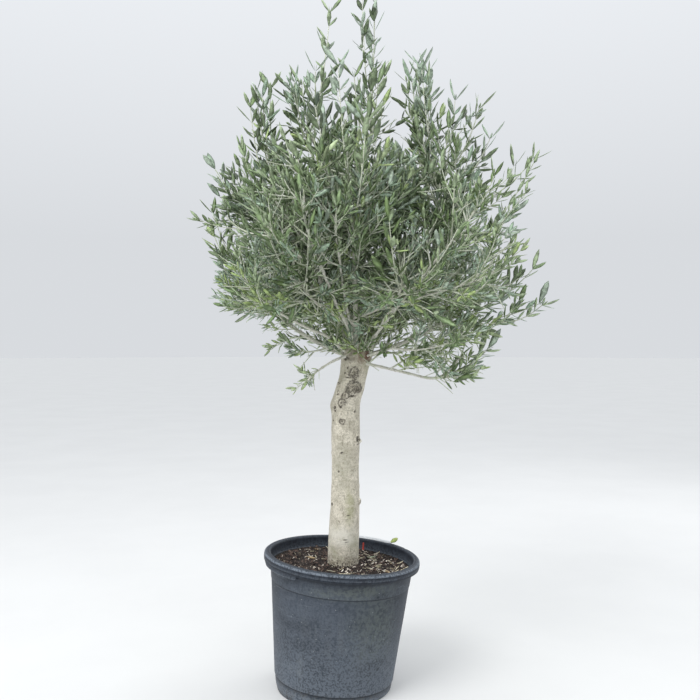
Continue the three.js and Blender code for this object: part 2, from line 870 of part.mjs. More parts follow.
function makeMass(mass, order, probes, material) {
  const points = stemPath(mass);
  const bough = limbs.get(mass.bough);
  const stemRadii = [bough.radii[1], TWIG.radius];
  const placed = [];
  const solids = [limbSolid(points, stemRadii, LIMB.sides - 1, GROWTH.stemSteps)];
  for (const leader of mass.leaders) {
    const path = shootPath(placeOnStem(points, leader.along), new THREE.Vector3(...leader.tip));
    solids.push(shootSolid(mass, probes, placed, path, true));
  }
  const tips = shootTips(mass, order);
  tips.forEach((tip, i) => {
    const along = mix(GROWTH.lastShoot, GROWTH.firstShoot, i / (tips.length - 1));
    solids.push(shootSolid(mass, probes, placed, shootPath(placeOnStem(points, along), tip), false));
  });
  const fused = solids.filter(Boolean).reduce((whole, solid) => whole.add(solid));
  const foot = limbSolid(bough.points, bough.radii, LIMB.sides, LIMB.steps, CLEARANCE);
  return toMesh(mass.name, fused.subtract(foot), material);
}

function makeMasses() {
  const material = new THREE.MeshStandardMaterial({ color: 0x7c8c70, roughness: 0.6, metalness: 0 });
  const probes = limbProbes();
  return MASSES.map((mass, order) => makeMass(mass, order, probes, material));
}

const tree = new THREE.Group();
tree.name = 'potted_olive_tree';
tree.add(makePot(), makeCompost(), makeTrunk(), ...makeBoughs(), ...makeMasses());

export default tree;
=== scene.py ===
import json
import math

import bmesh
import bpy
from mathutils import Matrix, Vector, noise

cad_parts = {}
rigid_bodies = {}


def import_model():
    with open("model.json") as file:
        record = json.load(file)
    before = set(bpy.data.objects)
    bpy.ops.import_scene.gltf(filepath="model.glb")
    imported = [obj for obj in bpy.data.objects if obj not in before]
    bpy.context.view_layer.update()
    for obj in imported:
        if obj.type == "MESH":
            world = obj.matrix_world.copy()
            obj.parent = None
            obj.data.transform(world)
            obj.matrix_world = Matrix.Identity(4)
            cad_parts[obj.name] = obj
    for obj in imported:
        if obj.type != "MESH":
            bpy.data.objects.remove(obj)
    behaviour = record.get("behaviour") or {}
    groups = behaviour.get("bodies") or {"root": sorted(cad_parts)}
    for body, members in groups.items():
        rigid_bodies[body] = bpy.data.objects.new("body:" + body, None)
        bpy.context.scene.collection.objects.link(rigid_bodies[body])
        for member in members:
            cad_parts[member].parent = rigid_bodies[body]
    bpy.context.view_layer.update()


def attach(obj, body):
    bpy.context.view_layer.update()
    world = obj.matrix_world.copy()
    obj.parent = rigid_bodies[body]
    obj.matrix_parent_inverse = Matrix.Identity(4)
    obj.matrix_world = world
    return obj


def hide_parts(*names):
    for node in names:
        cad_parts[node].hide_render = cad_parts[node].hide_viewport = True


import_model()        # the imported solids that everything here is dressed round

# A potted olive tree: one clear stem, thin boughs and a loose head of upright leafy shoots.
# Metres, +Z up, -Y towards the camera. Compass angles run from +X (0) by the back (90).
up = Vector((0, 0, 1))


# Small helpers for meshes

def mix(low, high, share):
    return low + (high - low) * share


def smoothStep(low, high, value):
    share = min(1, max(0, (value - low) / (high - low)))
    return share * share * (3 - 2 * share)


def ripple(x, y, z):
    return noise.noise(Vector((x, y, z)))


def seededSource(seed):
    # The same repeatable numbers from 0 to 1 as the tree's solids grow by
    state = seed
    while True:
        state = (state * 1664525 + 1013904223) % 2 ** 32
        yield state / 2 ** 32


def startSource(seed):
    source = seededSource(seed)
    for _ in range(4):
        next(source)        # neighbouring seeds drift apart
    return source


def heading(compass, rise):
    flat = math.cos(math.radians(rise))
    turn = math.radians(compass)
    return Vector((flat * math.cos(turn), flat * math.sin(turn), math.sin(math.radians(rise))))


def addObject(name, data):
    made = bpy.data.objects.new(name, data)
    bpy.context.scene.collection.objects.link(made)
    return made


def newPiece(name, vertices, faces, materials=(), smooth=True):
    mesh = bpy.data.meshes.new(name)
    mesh.from_pydata([tuple(v) for v in vertices], [], faces)
    mesh.validate()
    for material in materials:
        mesh.materials.append(material)
    mesh.polygons.foreach_set("use_smooth", [smooth] * len(mesh.polygons))
    return addObject(name, mesh)


def bakePiece(source, name):
    # The evaluated shape of an object as a plain mesh, with its modifiers gone
    bpy.context.view_layer.update()
    evaluated = source.evaluated_get(bpy.context.evaluated_depsgraph_get())
    mesh = bpy.data.meshes.new_from_object(evaluated)
    mesh.name = name
    bpy.data.objects.remove(source)
    return addObject(name, mesh)


def setAttribute(mesh, name, kind, values, domain="POINT"):
    # One number or vector for each point or face
    key = "vector" if kind == "FLOAT_VECTOR" else "value"
    if key == "vector":
        values = [part for vector in values for part in vector]
    mesh.attributes.new(name, kind, domain).data.foreach_set(key, values)


def runLength(points):
    return sum((b - a).length for a, b in zip(points, points[1:]))


def sampleCurve(points, count):
    # Evenly spaced points on a smooth curve through the given ones
    dense = []
    for i in range(len(points) - 1):
        before = points[max(0, i - 1)]
        after = points[min(len(points) - 1, i + 2)]
        a, b = points[i], points[i + 1]
        startSlope = (b - before) * 0.5
        endSlope = (after - a) * 0.5
        for k in range(12):
            t = k / 12
            dense.append(
                a * (2 * t ** 3 - 3 * t ** 2 + 1) + startSlope * (t ** 3 - 2 * t ** 2 + t)
                + b * (3 * t ** 2 - 2 * t ** 3) + endSlope * (t ** 3 - t ** 2)
            )
    dense.append(points[-1])
    lengths = [0.0]
    for a, b in zip(dense, dense[1:]):
        lengths.append(lengths[-1] + (b - a).length)
    samples = []
    k = 0
    for i in range(count + 1):
        target = lengths[-1] * i / count
        while k < len(lengths) - 2 and lengths[k + 1] < target:
            k += 1
        gap = lengths[k + 1] - lengths[k]
        samples.append(dense[k].lerp(dense[k + 1], (target - lengths[k]) / gap if gap else 0))
    return samples


def framesAlong(points):
    # A direction and two sideways axes at each point, turned as little as possible
    side = None
    frames = []
    for i in range(len(points)):
        along = (points[min(i + 1, len(points) - 1)] - points[max(i - 1, 0)]).normalized()
        if side is None:
            side = along.cross(up) if abs(along.z) < 0.9 else along.cross(Vector((0, 1, 0)))
        side = (side - along * side.dot(along)).normalized()
        frames.append((along, side, along.cross(side)))
    return frames


def skinRings(vertices, faces, rings, startPoint, endPoint):
    # Rings of equal count become one closed skin with a point at each end
    count = len(rings[0])
    first = len(vertices)
    for ring in rings:
        vertices.extend(ring)
    for i in range(len(rings) - 1):
        for k in range(count):
            a = first + i * count + k
            b = first + i * count + (k + 1) % count
            faces.append((a, b, b + count, a + count))
    vertices.extend([startPoint, endPoint])
    start, end = len(vertices) - 2, len(vertices) - 1
    last = first + (len(rings) - 1) * count
    for k in range(count):
        n = (k + 1) % count
        faces.append((start, first + n, first + k))
        faces.append((end, last + k, last + n))


# Small helpers for node trees

def setSocket(socket, value):
    # Colours are given by their three parts, and are opaque
    socket.default_value = (*value, 1.0) if socket.type == "RGBA" else value


def addNode(tree, kind, values=None, **settings):
    node = tree.nodes.new(kind)
    for key, value in settings.items():
        setattr(node, key, value)
    for key, value in (values or {}).items():
        setSocket(node.inputs[key], value)
    return node


def startGroup(name, treeType, inputs, outputs):
    tree = bpy.data.node_groups.new(name, treeType)
    for label, kind, *value in inputs:
        socket = tree.interface.new_socket(label, in_out="INPUT", socket_type="NodeSocket" + kind)
        if value:
            socket.default_value = (*value[0], 1.0) if kind == "Color" else value[0]
    for label, kind in outputs:
        tree.interface.new_socket(label, in_out="OUTPUT", socket_type="NodeSocket" + kind)
    return tree, tree.nodes.new("NodeGroupInput"), tree.nodes.new("NodeGroupOutput")


def join(tree, links):
    # Each link is a node and its output, and the node and input that it goes to
    for source, output, target, socket in links:
        tree.links.new(source.outputs[output], target.inputs[socket])


def finishTree(tree, start, end, made):
    # What a Geometry Nodes tree made becomes real and gets its material
    real = tree.nodes.new("GeometryNodeRealizeInstances")
    paint = tree.nodes.new("GeometryNodeSetMaterial")
    join(tree, ((made, 0, real, 0), (real, 0, paint, "Geometry"), (start, "Material", paint, "Material"),
                (paint, 0, end, "Geometry")))
    return tree


def addTree(piece, name, tree, values):
    # A modifier whose inputs are set by their sockets' identifiers
    modifier = piece.modifiers.new(name, "NODES")
    modifier.node_group = tree
    for item in tree.interface.items_tree:
        if item.item_type == "SOCKET" and item.in_out == "INPUT" and item.name in values:
            modifier[item.identifier] = values[item.name]


def placeGroup(tree, group, place, values=None):
    node = addNode(tree, "ShaderNodeGroup", values, node_tree=group)
    tree.links.new(place, node.inputs["Place"])
    return node


def fillSockets(tree, values):
    # A socket takes a link from another node or a plain value
    for socket, value in values:
        if isinstance(value, bpy.types.NodeSocket):
            tree.links.new(value, socket)
        else:
            setSocket(socket, value)


def mixColour(tree, factor, low, high):
    # Sockets 6 and 7 of a colour Mix node are its two colours, and output 2 is the result
    node = addNode(tree, "ShaderNodeMix", data_type="RGBA")
    fillSockets(tree, ((node.inputs[0], factor), (node.inputs[6], low), (node.inputs[7], high)))
    return node.outputs[2]


def calculate(tree, operation, first, second=0.0, clamp=True):
    node = addNode(tree, "ShaderNodeMath", operation=operation)
    node.use_clamp = clamp and operation in ("MULTIPLY", "ADD")
    fillSockets(tree, ((node.inputs[0], first), (node.inputs[1], second)))
    return node.outputs[0]


def multiply(tree, first, second):
    return calculate(tree, "MULTIPLY", first, second)


def combine(tree, operation, first, second=(0, 0, 0)):
    # Vector arithmetic: a length or a dot product comes out as a number
    node = addNode(tree, "ShaderNodeVectorMath", operation=operation)
    fillSockets(tree, ((node.inputs[0], first), (node.inputs[1], second)))
    return node.outputs["Value" if operation in ("LENGTH", "DOT_PRODUCT") else "Vector"]


def tint(tree, tone, mask, strength, shade):
    # A shade laid over a tone, as far as a mask and a strength let it
    return mixColour(tree, multiply(tree, mask, strength), tone, shade)


def rescale(tree, value, low, high, newLow=0.0, newHigh=1.0):
    node = addNode(tree, "ShaderNodeMapRange", {1: low, 2: high, 3: newLow, 4: newHigh})
    tree.links.new(value, node.inputs[0])
    return node.outputs[0]


def readAttribute(tree, name, output="Fac"):
    return addNode(tree, "ShaderNodeAttribute", attribute_name=name).outputs[output]


def startMaterial(name, shown, roughness):
    material = bpy.data.materials.new(name)
    material.use_nodes = True
    material.diffuse_color = (*shown, 1.0)
    tree = material.node_tree
    shader = tree.nodes["Principled BSDF"]
    setSocket(shader.inputs["Base Color"], shown)
    shader.inputs["Roughness"].default_value = roughness
    place = tree.nodes.new("ShaderNodeTexCoord").outputs["Object"]
    return material, tree, shader, place


def finishMaterial(tree, shader, tone, height, strength, distance, roughness=None):
    # The colour and the bump of a material, and its roughness where that varies
    tree.links.new(tone, shader.inputs["Base Color"])
    if roughness is not None:
        tree.links.new(roughness, shader.inputs["Roughness"])
    bump = addNode(tree, "ShaderNodeBump", {"Strength": strength, "Distance": distance})
    tree.links.new(height, bump.inputs["Height"])
    join(tree, ((bump, "Normal", shader, "Normal"),))


# Shader groups that more than one material uses

def finishNoiseGroup(tree, start, end, texture):
    # A soft step between the group's low and high turns the noise into its mask
    ramp = addNode(tree, "ShaderNodeMapRange", interpolation_type="SMOOTHSTEP")
    join(tree, ((texture, "Fac", ramp, 0), (start, "Low", ramp, 1), (start, "High", ramp, 2),
                (ramp, 0, end, "Mask"), (texture, "Fac", end, "Height")))
    return tree


def makeMottleGroup():
    # Soft blotches: a mask whose scale and contrast are set where it is placed
    tree, start, end = startGroup("mottle", "ShaderNodeTree", [
        ("Place", "Vector"), ("Scale", "Float", 20.0),
        ("Detail", "Float", 5.0), ("Low", "Float", 0.4),
        ("High", "Float", 0.6),
    ], [("Mask", "Float"), ("Height", "Float")])
    texture = addNode(tree, "ShaderNodeTexNoise", {"Roughness": 0.6})
    join(tree, ((start, "Place", texture, "Vector"), (start, "Scale", texture, "Scale"),
                (start, "Detail", texture, "Detail")))
    return finishNoiseGroup(tree, start, end, texture)


def makeSpeckGroup():
    # Sparse round specks, such as dust, pores or droppings
    tree, start, end = startGroup("specks", "ShaderNodeTree", [
        ("Place", "Vector"), ("Scale", "Float", 60.0),
        ("Size", "Float", 0.12),
    ], [("Mask", "Float")])
    cells = addNode(tree, "ShaderNodeTexVoronoi", {"Randomness": 1.0})
    join(tree, ((start, "Place", cells, "Vector"), (start, "Scale", cells, "Scale")))
    inside = calculate(tree, "LESS_THAN", cells.outputs["Distance"], start.outputs["Size"])
    tree.links.new(inside, end.inputs["Mask"])
    return tree


def makeStreakGroup():
    # Streaks along one axis, from a noise that is squeezed on the other two
    tree, start, end = startGroup("streaks", "ShaderNodeTree", [
        ("Place", "Vector"), ("Squeeze", "Vector", (60, 60, 4)),
        ("Low", "Float", 0.52), ("High", "Float", 0.7),
    ], [("Mask", "Float"), ("Height", "Float")])
    squeezed = combine(tree, "MULTIPLY", start.outputs["Place"], start.outputs["Squeeze"])
    texture = addNode(tree, "ShaderNodeTexNoise", {"Scale": 1.0, "Detail": 4.0, "Roughness": 0.55})
    tree.links.new(squeezed, texture.inputs["Vector"])
    return finishNoiseGroup(tree, start, end, texture)


mottleGroup = makeMottleGroup()
speckGroup = makeSpeckGroup()
streakGroup = makeStreakGroup()


def mottle(tree, place, scale, low, high, detail=5.0):
    # The mask and the height of the blotches
    values = {"Scale": scale, "Detail": detail, "Low": low, "High": high}
    return placeGroup(tree, mottleGroup, place, values).outputs


def specks(tree, place, scale, size):
    return placeGroup(tree, speckGroup, place, {"Scale": scale, "Size": size}).outputs["Mask"]


def streaks(tree, place, squeeze, low, high):
    return placeGroup(tree, streakGroup, place, {"Squeeze": squeeze, "Low": low, "High": high}).outputs


def nearPoint(tree, place, point, size, inner=0.5):
    # A soft mask round a point, with its own size along each axis
    shift = addNode(tree, "ShaderNodeMapping", {"Location": [-p / s for p, s in zip(point, size)],
                                                "Scale": [1 / s for s in size]})
    tree.links.new(place, shift.inputs["Vector"])
    node = addNode(tree, "ShaderNodeMapRange", {1: inner, 2: 1.0, 3: 1.0, 4: 0.0},
                   interpolation_type="SMOOTHSTEP")
    tree.links.new(combine(tree, "LENGTH", shift.outputs[0]), node.inputs[0])
    return node.outputs[0]


def lineAt(tree, height, level, half):
    # A soft mask along one level of a height
    apart = calculate(tree, "ABSOLUTE", calculate(tree, "SUBTRACT", height, level))
    return rescale(tree, apart, half * 0.3, half, 1.0, 0.0)


# Stage, light and camera

stageLook = {
    "floorRadius": 60.0, "floorDrop": 0.0005, "floorColour": (0.72, 0.72, 0.71), "floorShade": 0.97,
    "sky": (0.93, 0.96, 1.0), "horizonStrength": 0.74, "zenithStrength": 1.25,
    "keyPlace": (-2.4, -3.0, 4.6), "keySize": 2.6, "keyPower": 165,
    "fillPlace": (3.4, 2.4, 3.8), "fillSize": 3.0, "fillPower": 60,
    "lampAim": (0.1, 0, 1.4), "view": "Standard",
}
cameraView = {"place": (0.06, -2.877, 1.215), "pitch": -0.63, "lens": 41.91, "sensor": 36.0}


def makeStage():
    count = 96
    rim = [heading(360 * k / count, 0) * stageLook["floorRadius"] for k in range(count)]
    material, tree, shader, place = startMaterial("stageFloor", stageLook["floorColour"], 0.9)
    grain, _ = mottle(tree, place, 1.5, 0.3, 0.7)
    low = [stageLook["floorShade"] * c for c in stageLook["floorColour"]]
    tree.links.new(mixColour(tree, grain, low, stageLook["floorColour"]),
                   shader.inputs["Base Color"])
    floor = newPiece("stage_floor", rim, [tuple(range(count))], [material], smooth=False)
    floor.location.z = -stageLook["floorDrop"]
    world = bpy.data.worlds.new("softSky")
    world.use_nodes = True
    # An overcast sky, brighter overhead than at the horizon
    sky = world.node_tree
    height = sky.nodes.new("ShaderNodeSeparateXYZ")
    sky.links.new(sky.nodes.new("ShaderNodeTexCoord").outputs["Generated"], height.inputs[0])
    strength = rescale(sky, height.outputs["Z"], 0.12, 1.0, stageLook["horizonStrength"],
                       stageLook["zenithStrength"])
    sky.links.new(strength, sky.nodes["Background"].inputs["Strength"])
    setSocket(sky.nodes["Background"].inputs["Color"], stageLook["sky"])
    bpy.context.scene.world = world
    bpy.context.scene.view_settings.view_transform = stageLook["view"]
    for name in ("key", "fill"):
        light = bpy.data.lights.new(name, "AREA")
        light.size = stageLook[name + "Size"]
        light.energy = stageLook[name + "Power"]
        lamp = addObject(name, light)
        lamp.location = stageLook[name + "Place"]
        aim = Vector(stageLook["lampAim"]) - lamp.location
        lamp.rotation_euler = aim.to_track_quat("-Z", "Y").to_euler()


def makeCamera():
    data = bpy.data.cameras.new("camera")
    data.lens = cameraView["lens"]
    data.sensor_width = cameraView["sensor"]
    data.sensor_fit = "HORIZONTAL"
    camera = addObject("camera", data)
    camera.location = cameraView["place"]
    camera.rotation_euler = (math.radians(90 + cameraView["pitch"]), 0, 0)
    bpy.context.scene.camera = camera


makeStage()
makeCamera()
print("stage, light and camera are set")


# The pot

pot = {
    "lean": 4.0,               # degrees towards +X, with the foot cut level
    "height": 0.465, "footRadius": 0.192, "chamfer": 0.014,
    "wallFootRadius": 0.205, "wallTopRadius": 0.252,
    "seamHeight": 0.04, "seamStep": 0.0025, "ridgeHeight": 0.374, "ridge": 0.0016,
    "rimRadius": 0.275, "rimHeight": 0.029, "rimInnerRadius": 0.25,
    "wall": 0.004, "floor": 0.005, "innerStepDepth": 0.038,
    "gripEnds": (-75.0, -34.0), "gripHeight": 0.013, "gripRadius": 0.271,
    "segments": 240, "buried": 0.03, "waviness": 0.0009,
    "drainHoles": 8, "drainRadius": 0.011, "drainCircle": 0.165,
    "gripWear": 0.429, "dropping": (0.27, 0.127, 0.4475), "roughness": (0.46, 0.7), "gloss": 0.28,
}
potTilt = Matrix.Rotation(math.radians(pot["lean"]), 4, "Y")
# The edge colour is the pale of worn rim edges and of the painted highlights along them
potColours = {
    "dark": (0.015, 0.021, 0.031), "light": (0.046, 0.058, 0.077),
    "dust": (0.094, 0.108, 0.128), "grit": (0.014, 0.019, 0.027),
    "run": (0.118, 0.125, 0.128), "scuff": (0.15, 0.165, 0.185),
    "soil": (0.13, 0.12, 0.105), "line": (0.016, 0.02, 0.027),
    "spot": (0.34, 0.36, 0.35), "rimDark": (0.008, 0.011, 0.018),
    "rimLight": (0.022, 0.029, 0.041), "edge": (0.185, 0.215, 0.255),
    "grip": (0.19, 0.215, 0.25), "dropping": (0.55, 0.57, 0.56),
}
# Placed marks on the wall: centre, size, strength and colour. Greenish film on the right of the
# front and under the rim, a haze above a foot darkened as painted shade, rubbed places, pale runs,
# marks at the back, and painted shade down the left side.
potMarks = [
    ((0.129, -0.2, 0.27), (0.13, 0.2, 0.23), 0.55, (0.088, 0.104, 0.09)),
    ((0.07, -0.215, 0.392), (0.22, 0.15, 0.034), 0.75, (0.1, 0.116, 0.104)),
    ((0.165, -0.18, 0.24), (0.07, 0.12, 0.18), 0.45, (0.095, 0.112, 0.104)),
    ((0.000, -0.2, 0.335), (0.3, 0.3, 0.06), 0.3, (0.085, 0.102, 0.13)),
    # Painted shade, darker towards the pot's foot
    ((0.000, -0.2, 0.06), (0.3, 0.3, 0.16), 0.9, (0.017, 0.022, 0.029)),
    ((-0.108, -0.2, 0.208), (0.062, 0.12, 0.034), 1.00, (0.01, 0.014, 0.02)),
    ((-0.134, -0.2, 0.27), (0.075, 0.12, 0.03), 0.75, (0.014, 0.018, 0.025)),
    ((-0.155, -0.18, 0.172), (0.028, 0.12, 0.05), 0.95, (0.011, 0.015, 0.021)),
    ((0.125, -0.2, 0.198), (0.018, 0.08, 0.02), 1.00, (0.01, 0.014, 0.018)),
    ((0.046, -0.21, 0.177), (0.014, 0.08, 0.014), 1.00, (0.012, 0.016, 0.021)),
    ((0.15, -0.18, 0.128), (0.075, 0.12, 0.045), 0.95, (0.013, 0.017, 0.022)),
    ((-0.108, -0.2, 0.128), (0.022, 0.1, 0.06), 0.75, (0.13, 0.142, 0.15)),
    ((-0.14, -0.2, 0.12), (0.012, 0.1, 0.04), 0.6, (0.12, 0.132, 0.14)),
    ((0.16, -0.2, 0.375), (0.045, 0.12, 0.022), 0.95, (0.012, 0.016, 0.021)),
    ((0.02, -0.2, 0.3), (0.11, 0.2, 0.06), 0.4, (0.074, 0.088, 0.108)),
    ((-0.1, 0.2, 0.2), (0.16, 0.14, 0.16), 0.6, (0.108, 0.124, 0.104)),
    ((0.1, 0.19, 0.29), (0.12, 0.14, 0.06), 0.6, (0.04, 0.05, 0.062)),
    # Painted shade down the pot's left side
    ((-0.225, -0.06, 0.23), (0.085, 0.2, 0.3), 0.8, (0.028, 0.036, 0.048)),
]


def potPlasticMaterial():
    material, tree, shader, place = startMaterial("potPlastic", (0.06, 0.072, 0.092), 0.55)
    paint = potColours
    cloud, _ = mottle(tree, place, 5.5, 0.38, 0.64, 6.0)
    film, filmHeight = mottle(tree, place, 74.0, 0.4, 0.63, 9.0)
    grit, gritHeight = mottle(tree, place, 180.0, 0.48, 0.58, 5.0)
    runs, _ = streaks(tree, place, (30, 30, 2.4), 0.48, 0.74)
    scuffs, _ = streaks(tree, place, (9, 9, 210), 0.58, 0.72)
    tone = mixColour(tree, cloud, paint["dark"], paint["light"])
    for layer, strength, shade in ((film, 0.38, "dust"), (grit, 0.34, "grit"), (runs, 0.22, "run"),
                                   (scuffs, 0.35, "scuff")):
        tone = tint(tree, tone, layer, strength, paint[shade])
    for point, size, strength, shade in potMarks:
        near = nearPoint(tree, place, point, size, 0.1)
        mask = multiply(tree, near, calculate(tree, "ADD", film, 0.3))
        tone = tint(tree, tone, mask, strength, shade)
    # Heights along the pot's own leaning axis: soil at the foot, two moulded lines, and painted shade under
    # the rim
    level = combine(tree, "DOT_PRODUCT", place, potTilt @ up)
    tone = tint(tree, tone, rescale(tree, level, 0.0, 0.06, 0.7, 0.0), film, paint["soil"])
    for line, half, strength in ((pot["ridgeHeight"], 0.0032, 0.85), (pot["seamHeight"], 0.0032, 0.8),
                                 # The last band is painted shade under the rim's overhang
                                 (pot["height"] - pot["rimHeight"] - 0.004, 0.012, 0.75)):
        tone = tint(tree, tone, lineAt(tree, level, line, half), strength, paint["line"])
    tone = tint(tree, tone, specks(tree, place, 46, 0.06), 0.8, paint["spot"])
    # The rim is smoother and darker, and pale along its edges, partly as wear and partly as painted highlight
    rimTone = mixColour(tree, film, paint["rimDark"], paint["rimLight"])
    tone = tint(tree, tone, readAttribute(tree, "rim"), 0.94, rimTone)
    patchy = calculate(tree, "ADD", mottle(tree, place, 150, 0.4, 0.6, 7.0)[0], 0.3)
    wearAndHighlight = multiply(tree, readAttribute(tree, "edgeWearAndHighlight"), patchy)
    tone = tint(tree, tone, wearAndHighlight, 0.8, paint["edge"])
    grip = heading(-90 + sum(pot["gripEnds"]) / 2, 0) * pot["rimRadius"] + up * pot["gripWear"]
    scuffed = multiply(tree, nearPoint(tree, place, grip, (0.105, 0.105, 0.016), 0.3),
                        calculate(tree, "ADD", grit, 0.15))
    tone = tint(tree, tone, scuffed, 0.8, paint["grip"])
    dropping = nearPoint(tree, place, pot["dropping"], (0.011, 0.011, 0.01), 0.4)
    tone = mixColour(tree, dropping, tone, paint["dropping"])
    height = calculate(tree, "ADD", multiply(tree, gritHeight, 0.5),
                       multiply(tree, filmHeight, 0.5))
    roughness = rescale(tree, filmHeight, 0.3, 0.7, *pot["roughness"])
    finishMaterial(tree, shader, tone, height, 0.35, 0.0014, roughness)
    shader.inputs["Specular IOR Level"].default_value = pot["gloss"]
    return material


def potWall(height):
    share = (height - pot["chamfer"]) / (pot["height"] - pot["rimHeight"] - pot["chamfer"])
    return mix(pot["wallFootRadius"], pot["wallTopRadius"], share)


def gripShare(angle):
    # 1 where a grip hangs under the rim and 0 elsewhere; there is one on each of two sides
    share = 0.0
    for turn in (0, 180):
        middle = -90 + turn + sum(pot["gripEnds"]) / 2
        half = (pot["gripEnds"][1] - pot["gripEnds"][0]) / 2
        apart = abs((angle - middle + 180) % 360 - 180)
        share = max(share, 1 - smoothStep(half - 0.8, half + 0.8, apart))
    return share


def potProfile(grip):
    # Corners from the foot, up the wall, over the rim and down inside: radius, height,
    # rounding, how far it counts as rim, and how pale its edge is painted, as wear and as painted highlight
    p = pot
    top, rim = p["height"], p["rimRadius"]
    foot = top - p["rimHeight"]
    skirt = foot - grip * p["gripHeight"]
    step = top - p["innerStepDepth"]
    inner = p["rimInnerRadius"]
    seam, ridge = p["seamHeight"], p["ridgeHeight"]
    return [
        (p["footRadius"], -p["buried"], 0, 0, 0),
        (potWall(p["chamfer"]), p["chamfer"], 0.006, 0, 0.9),
        (potWall(seam), seam, 0.0008, 0, 0),
        (potWall(seam) + p["seamStep"], seam + p["seamStep"], 0.001, 0, 0.8),
        (potWall(ridge) - p["ridge"], ridge, 0.0006, 0, 0),
        (potWall(ridge), ridge + p["ridge"], 0.0006, 0, 0.25),
        (potWall(skirt), skirt, 0.0015, 0, 0),
        # From the grip's lip over the rim, the pale edges are painted highlights as well as wear
        (mix(rim, p["gripRadius"], grip) - 0.002, skirt, 0.0012, 1, 0.15 + 0.85 * grip),
        (mix(rim - 0.001, p["gripRadius"], grip), skirt + 0.003, 0.001, 1, 0.4 * grip),
        (rim - mix(0.0005, 0.004, grip), foot + 0.005, 0.001, 1, 0),
        (rim, foot + 0.0085, 0.001, 1, 0.35),
        (rim, top - 0.011, 0.001, 1, 0),
        (rim - 0.001, top - 0.005, 0.003, 1, 1.0),
        (rim - 0.008, top, 0.002, 1, 0.3),
        (inner + 0.01, top, 0.001, 1, 0),
        (inner + 0.005, top, 0.0025, 1, 0.35),
        (inner + 0.001, top - 0.008, 0.002, 1, 0),
        (inner, step, 0.0012, 1, 0.5),
        (potWall(step) - p["wall"], step - 0.003, 0.001, 0.6, 0),
        (potWall(0) - p["wall"] - 0.006, -p["buried"], 0, 0, 0),
    ]


def roundCorners(corners, steps=3):
    # Each corner becomes a short arc that starts and ends its rounding away from it
    rounded = [corners[0]]
    for before, corner, after in zip(corners, corners[1:], corners[2:]):
        here = Vector(corner[:2])
        back, on = Vector(before[:2]) - here, Vector(after[:2]) - here
        reach = min(corner[2], back.length * 0.45, on.length * 0.45)
        a, b = here + back.normalized() * reach, here + on.normalized() * reach
        for k in range(steps + 1):
            t = k / steps
            point = a.lerp(here, t).lerp(here.lerp(b, t), t)
            rounded.append((point.x, point.y, 0, corner[3], corner[4]))
    rounded.append(corners[-1])
    return rounded


def countPieces(profile, longest=0.02):
    # Long stretches get points between, so that dents can follow the wall
    return [max(1, math.ceil(math.hypot(b[0] - a[0], b[1] - a[1]) / longest))
            for a, b in zip(profile, profile[1:])]


def potShellHalf(rows, level):
    # One side of the shell, round the pot's axis, cut level and closed there
    vertices, rims, edgeWearAndHighlights = [], [], []
    count = len(rows[0])
    for k, line in enumerate(rows):
        out = heading(360 * k / pot["segments"], 0)
        for radius, height, _, rim, edgeWearAndHighlight in line:
            sway = ripple(out.x * 1.4, out.y * 1.4, height * 3)
            sway += ripple(out.x * 5, out.y * 5, height * 9) * 0.4
            place = potTilt @ (out * (radius + sway * pot["waviness"]) + up * height)
            vertices.append(place)
            rims.append(rim)
            edgeWearAndHighlights.append(edgeWearAndHighlight)
    faces = []
    for k in range(pot["segments"]):
        n = (k + 1) % pot["segments"]
        for i in range(count - 1):
            faces.append((k * count + i, n * count + i, n * count + i + 1, k * count + i + 1))
    mesh = bpy.data.meshes.new("shellHalf")
    mesh.from_pydata(vertices, [], faces)
    setAttribute(mesh, "rim", "FLOAT", rims)
    setAttribute(mesh, "edgeWearAndHighlight", "FLOAT", edgeWearAndHighlights)
    half = bmesh.new()
    half.from_mesh(mesh)
    everything = list(half.verts) + list(half.edges) + list(half.faces)
    cut = bmesh.ops.bisect_plane(half, geom=everything, dist=1e-7, plane_co=(0, 0, level),
                                 plane_no=(0, 0, -1), clear_outer=True)
    bmesh.ops.edgeloop_fill(half, edges=[e for e in cut["geom_cut"] if isinstance(e, bmesh.types.BMEdge)])
    half.to_mesh(mesh)
    half.free()
    return mesh


def makePot():
    rows = []
    counts = None
    for k in range(pot["segments"]):
        profile = roundCorners(potProfile(gripShare(360 * k / pot["segments"])))
        counts = counts or countPieces(profile)
        line = [profile[0]]
        for a, b, pieces in zip(profile, profile[1:], counts):
            line += [tuple(mix(x, y, i / pieces) for x, y in zip(a, b)) for i in range(1, pieces + 1)]
        rows.append(line)
    # The shell is made as an outer and an inner half that share the highest ring of the rim
    top = max(range(len(rows[0])), key=lambda i: (rows[0][i][1], -rows[0][i][0]))
    outer = potShellHalf([line[:top + 1] for line in rows], 0.0)
    inner = potShellHalf([line[top:] for line in rows], pot["floor"])
    shell = bmesh.new()
    shell.from_mesh(outer)
    shell.from_mesh(inner)
    bmesh.ops.remove_doubles(shell, verts=shell.verts, dist=1e-6)
    bmesh.ops.recalc_face_normals(shell, faces=shell.faces)
    shell.to_mesh(outer)
    shell.free()
    piece = addObject("pot_shell", outer)
    holes = drillStock()
    cutter = piece.modifiers.new("drain", "BOOLEAN")
    cutter.operation = "DIFFERENCE"
    cutter.solver = "EXACT"
    cutter.object = holes
    piece = bakePiece(piece, "pot_body")
    bpy.data.objects.remove(holes)
    piece.data.materials.clear()
    piece.data.materials.append(potPlasticMaterial())
    flat = [f.center.z < 0.01 and abs(f.normal.z) > 0.98 for f in piece.data.polygons]
    piece.data.polygons.foreach_set("use_smooth", [not isFlat for isFlat in flat])
    return piece


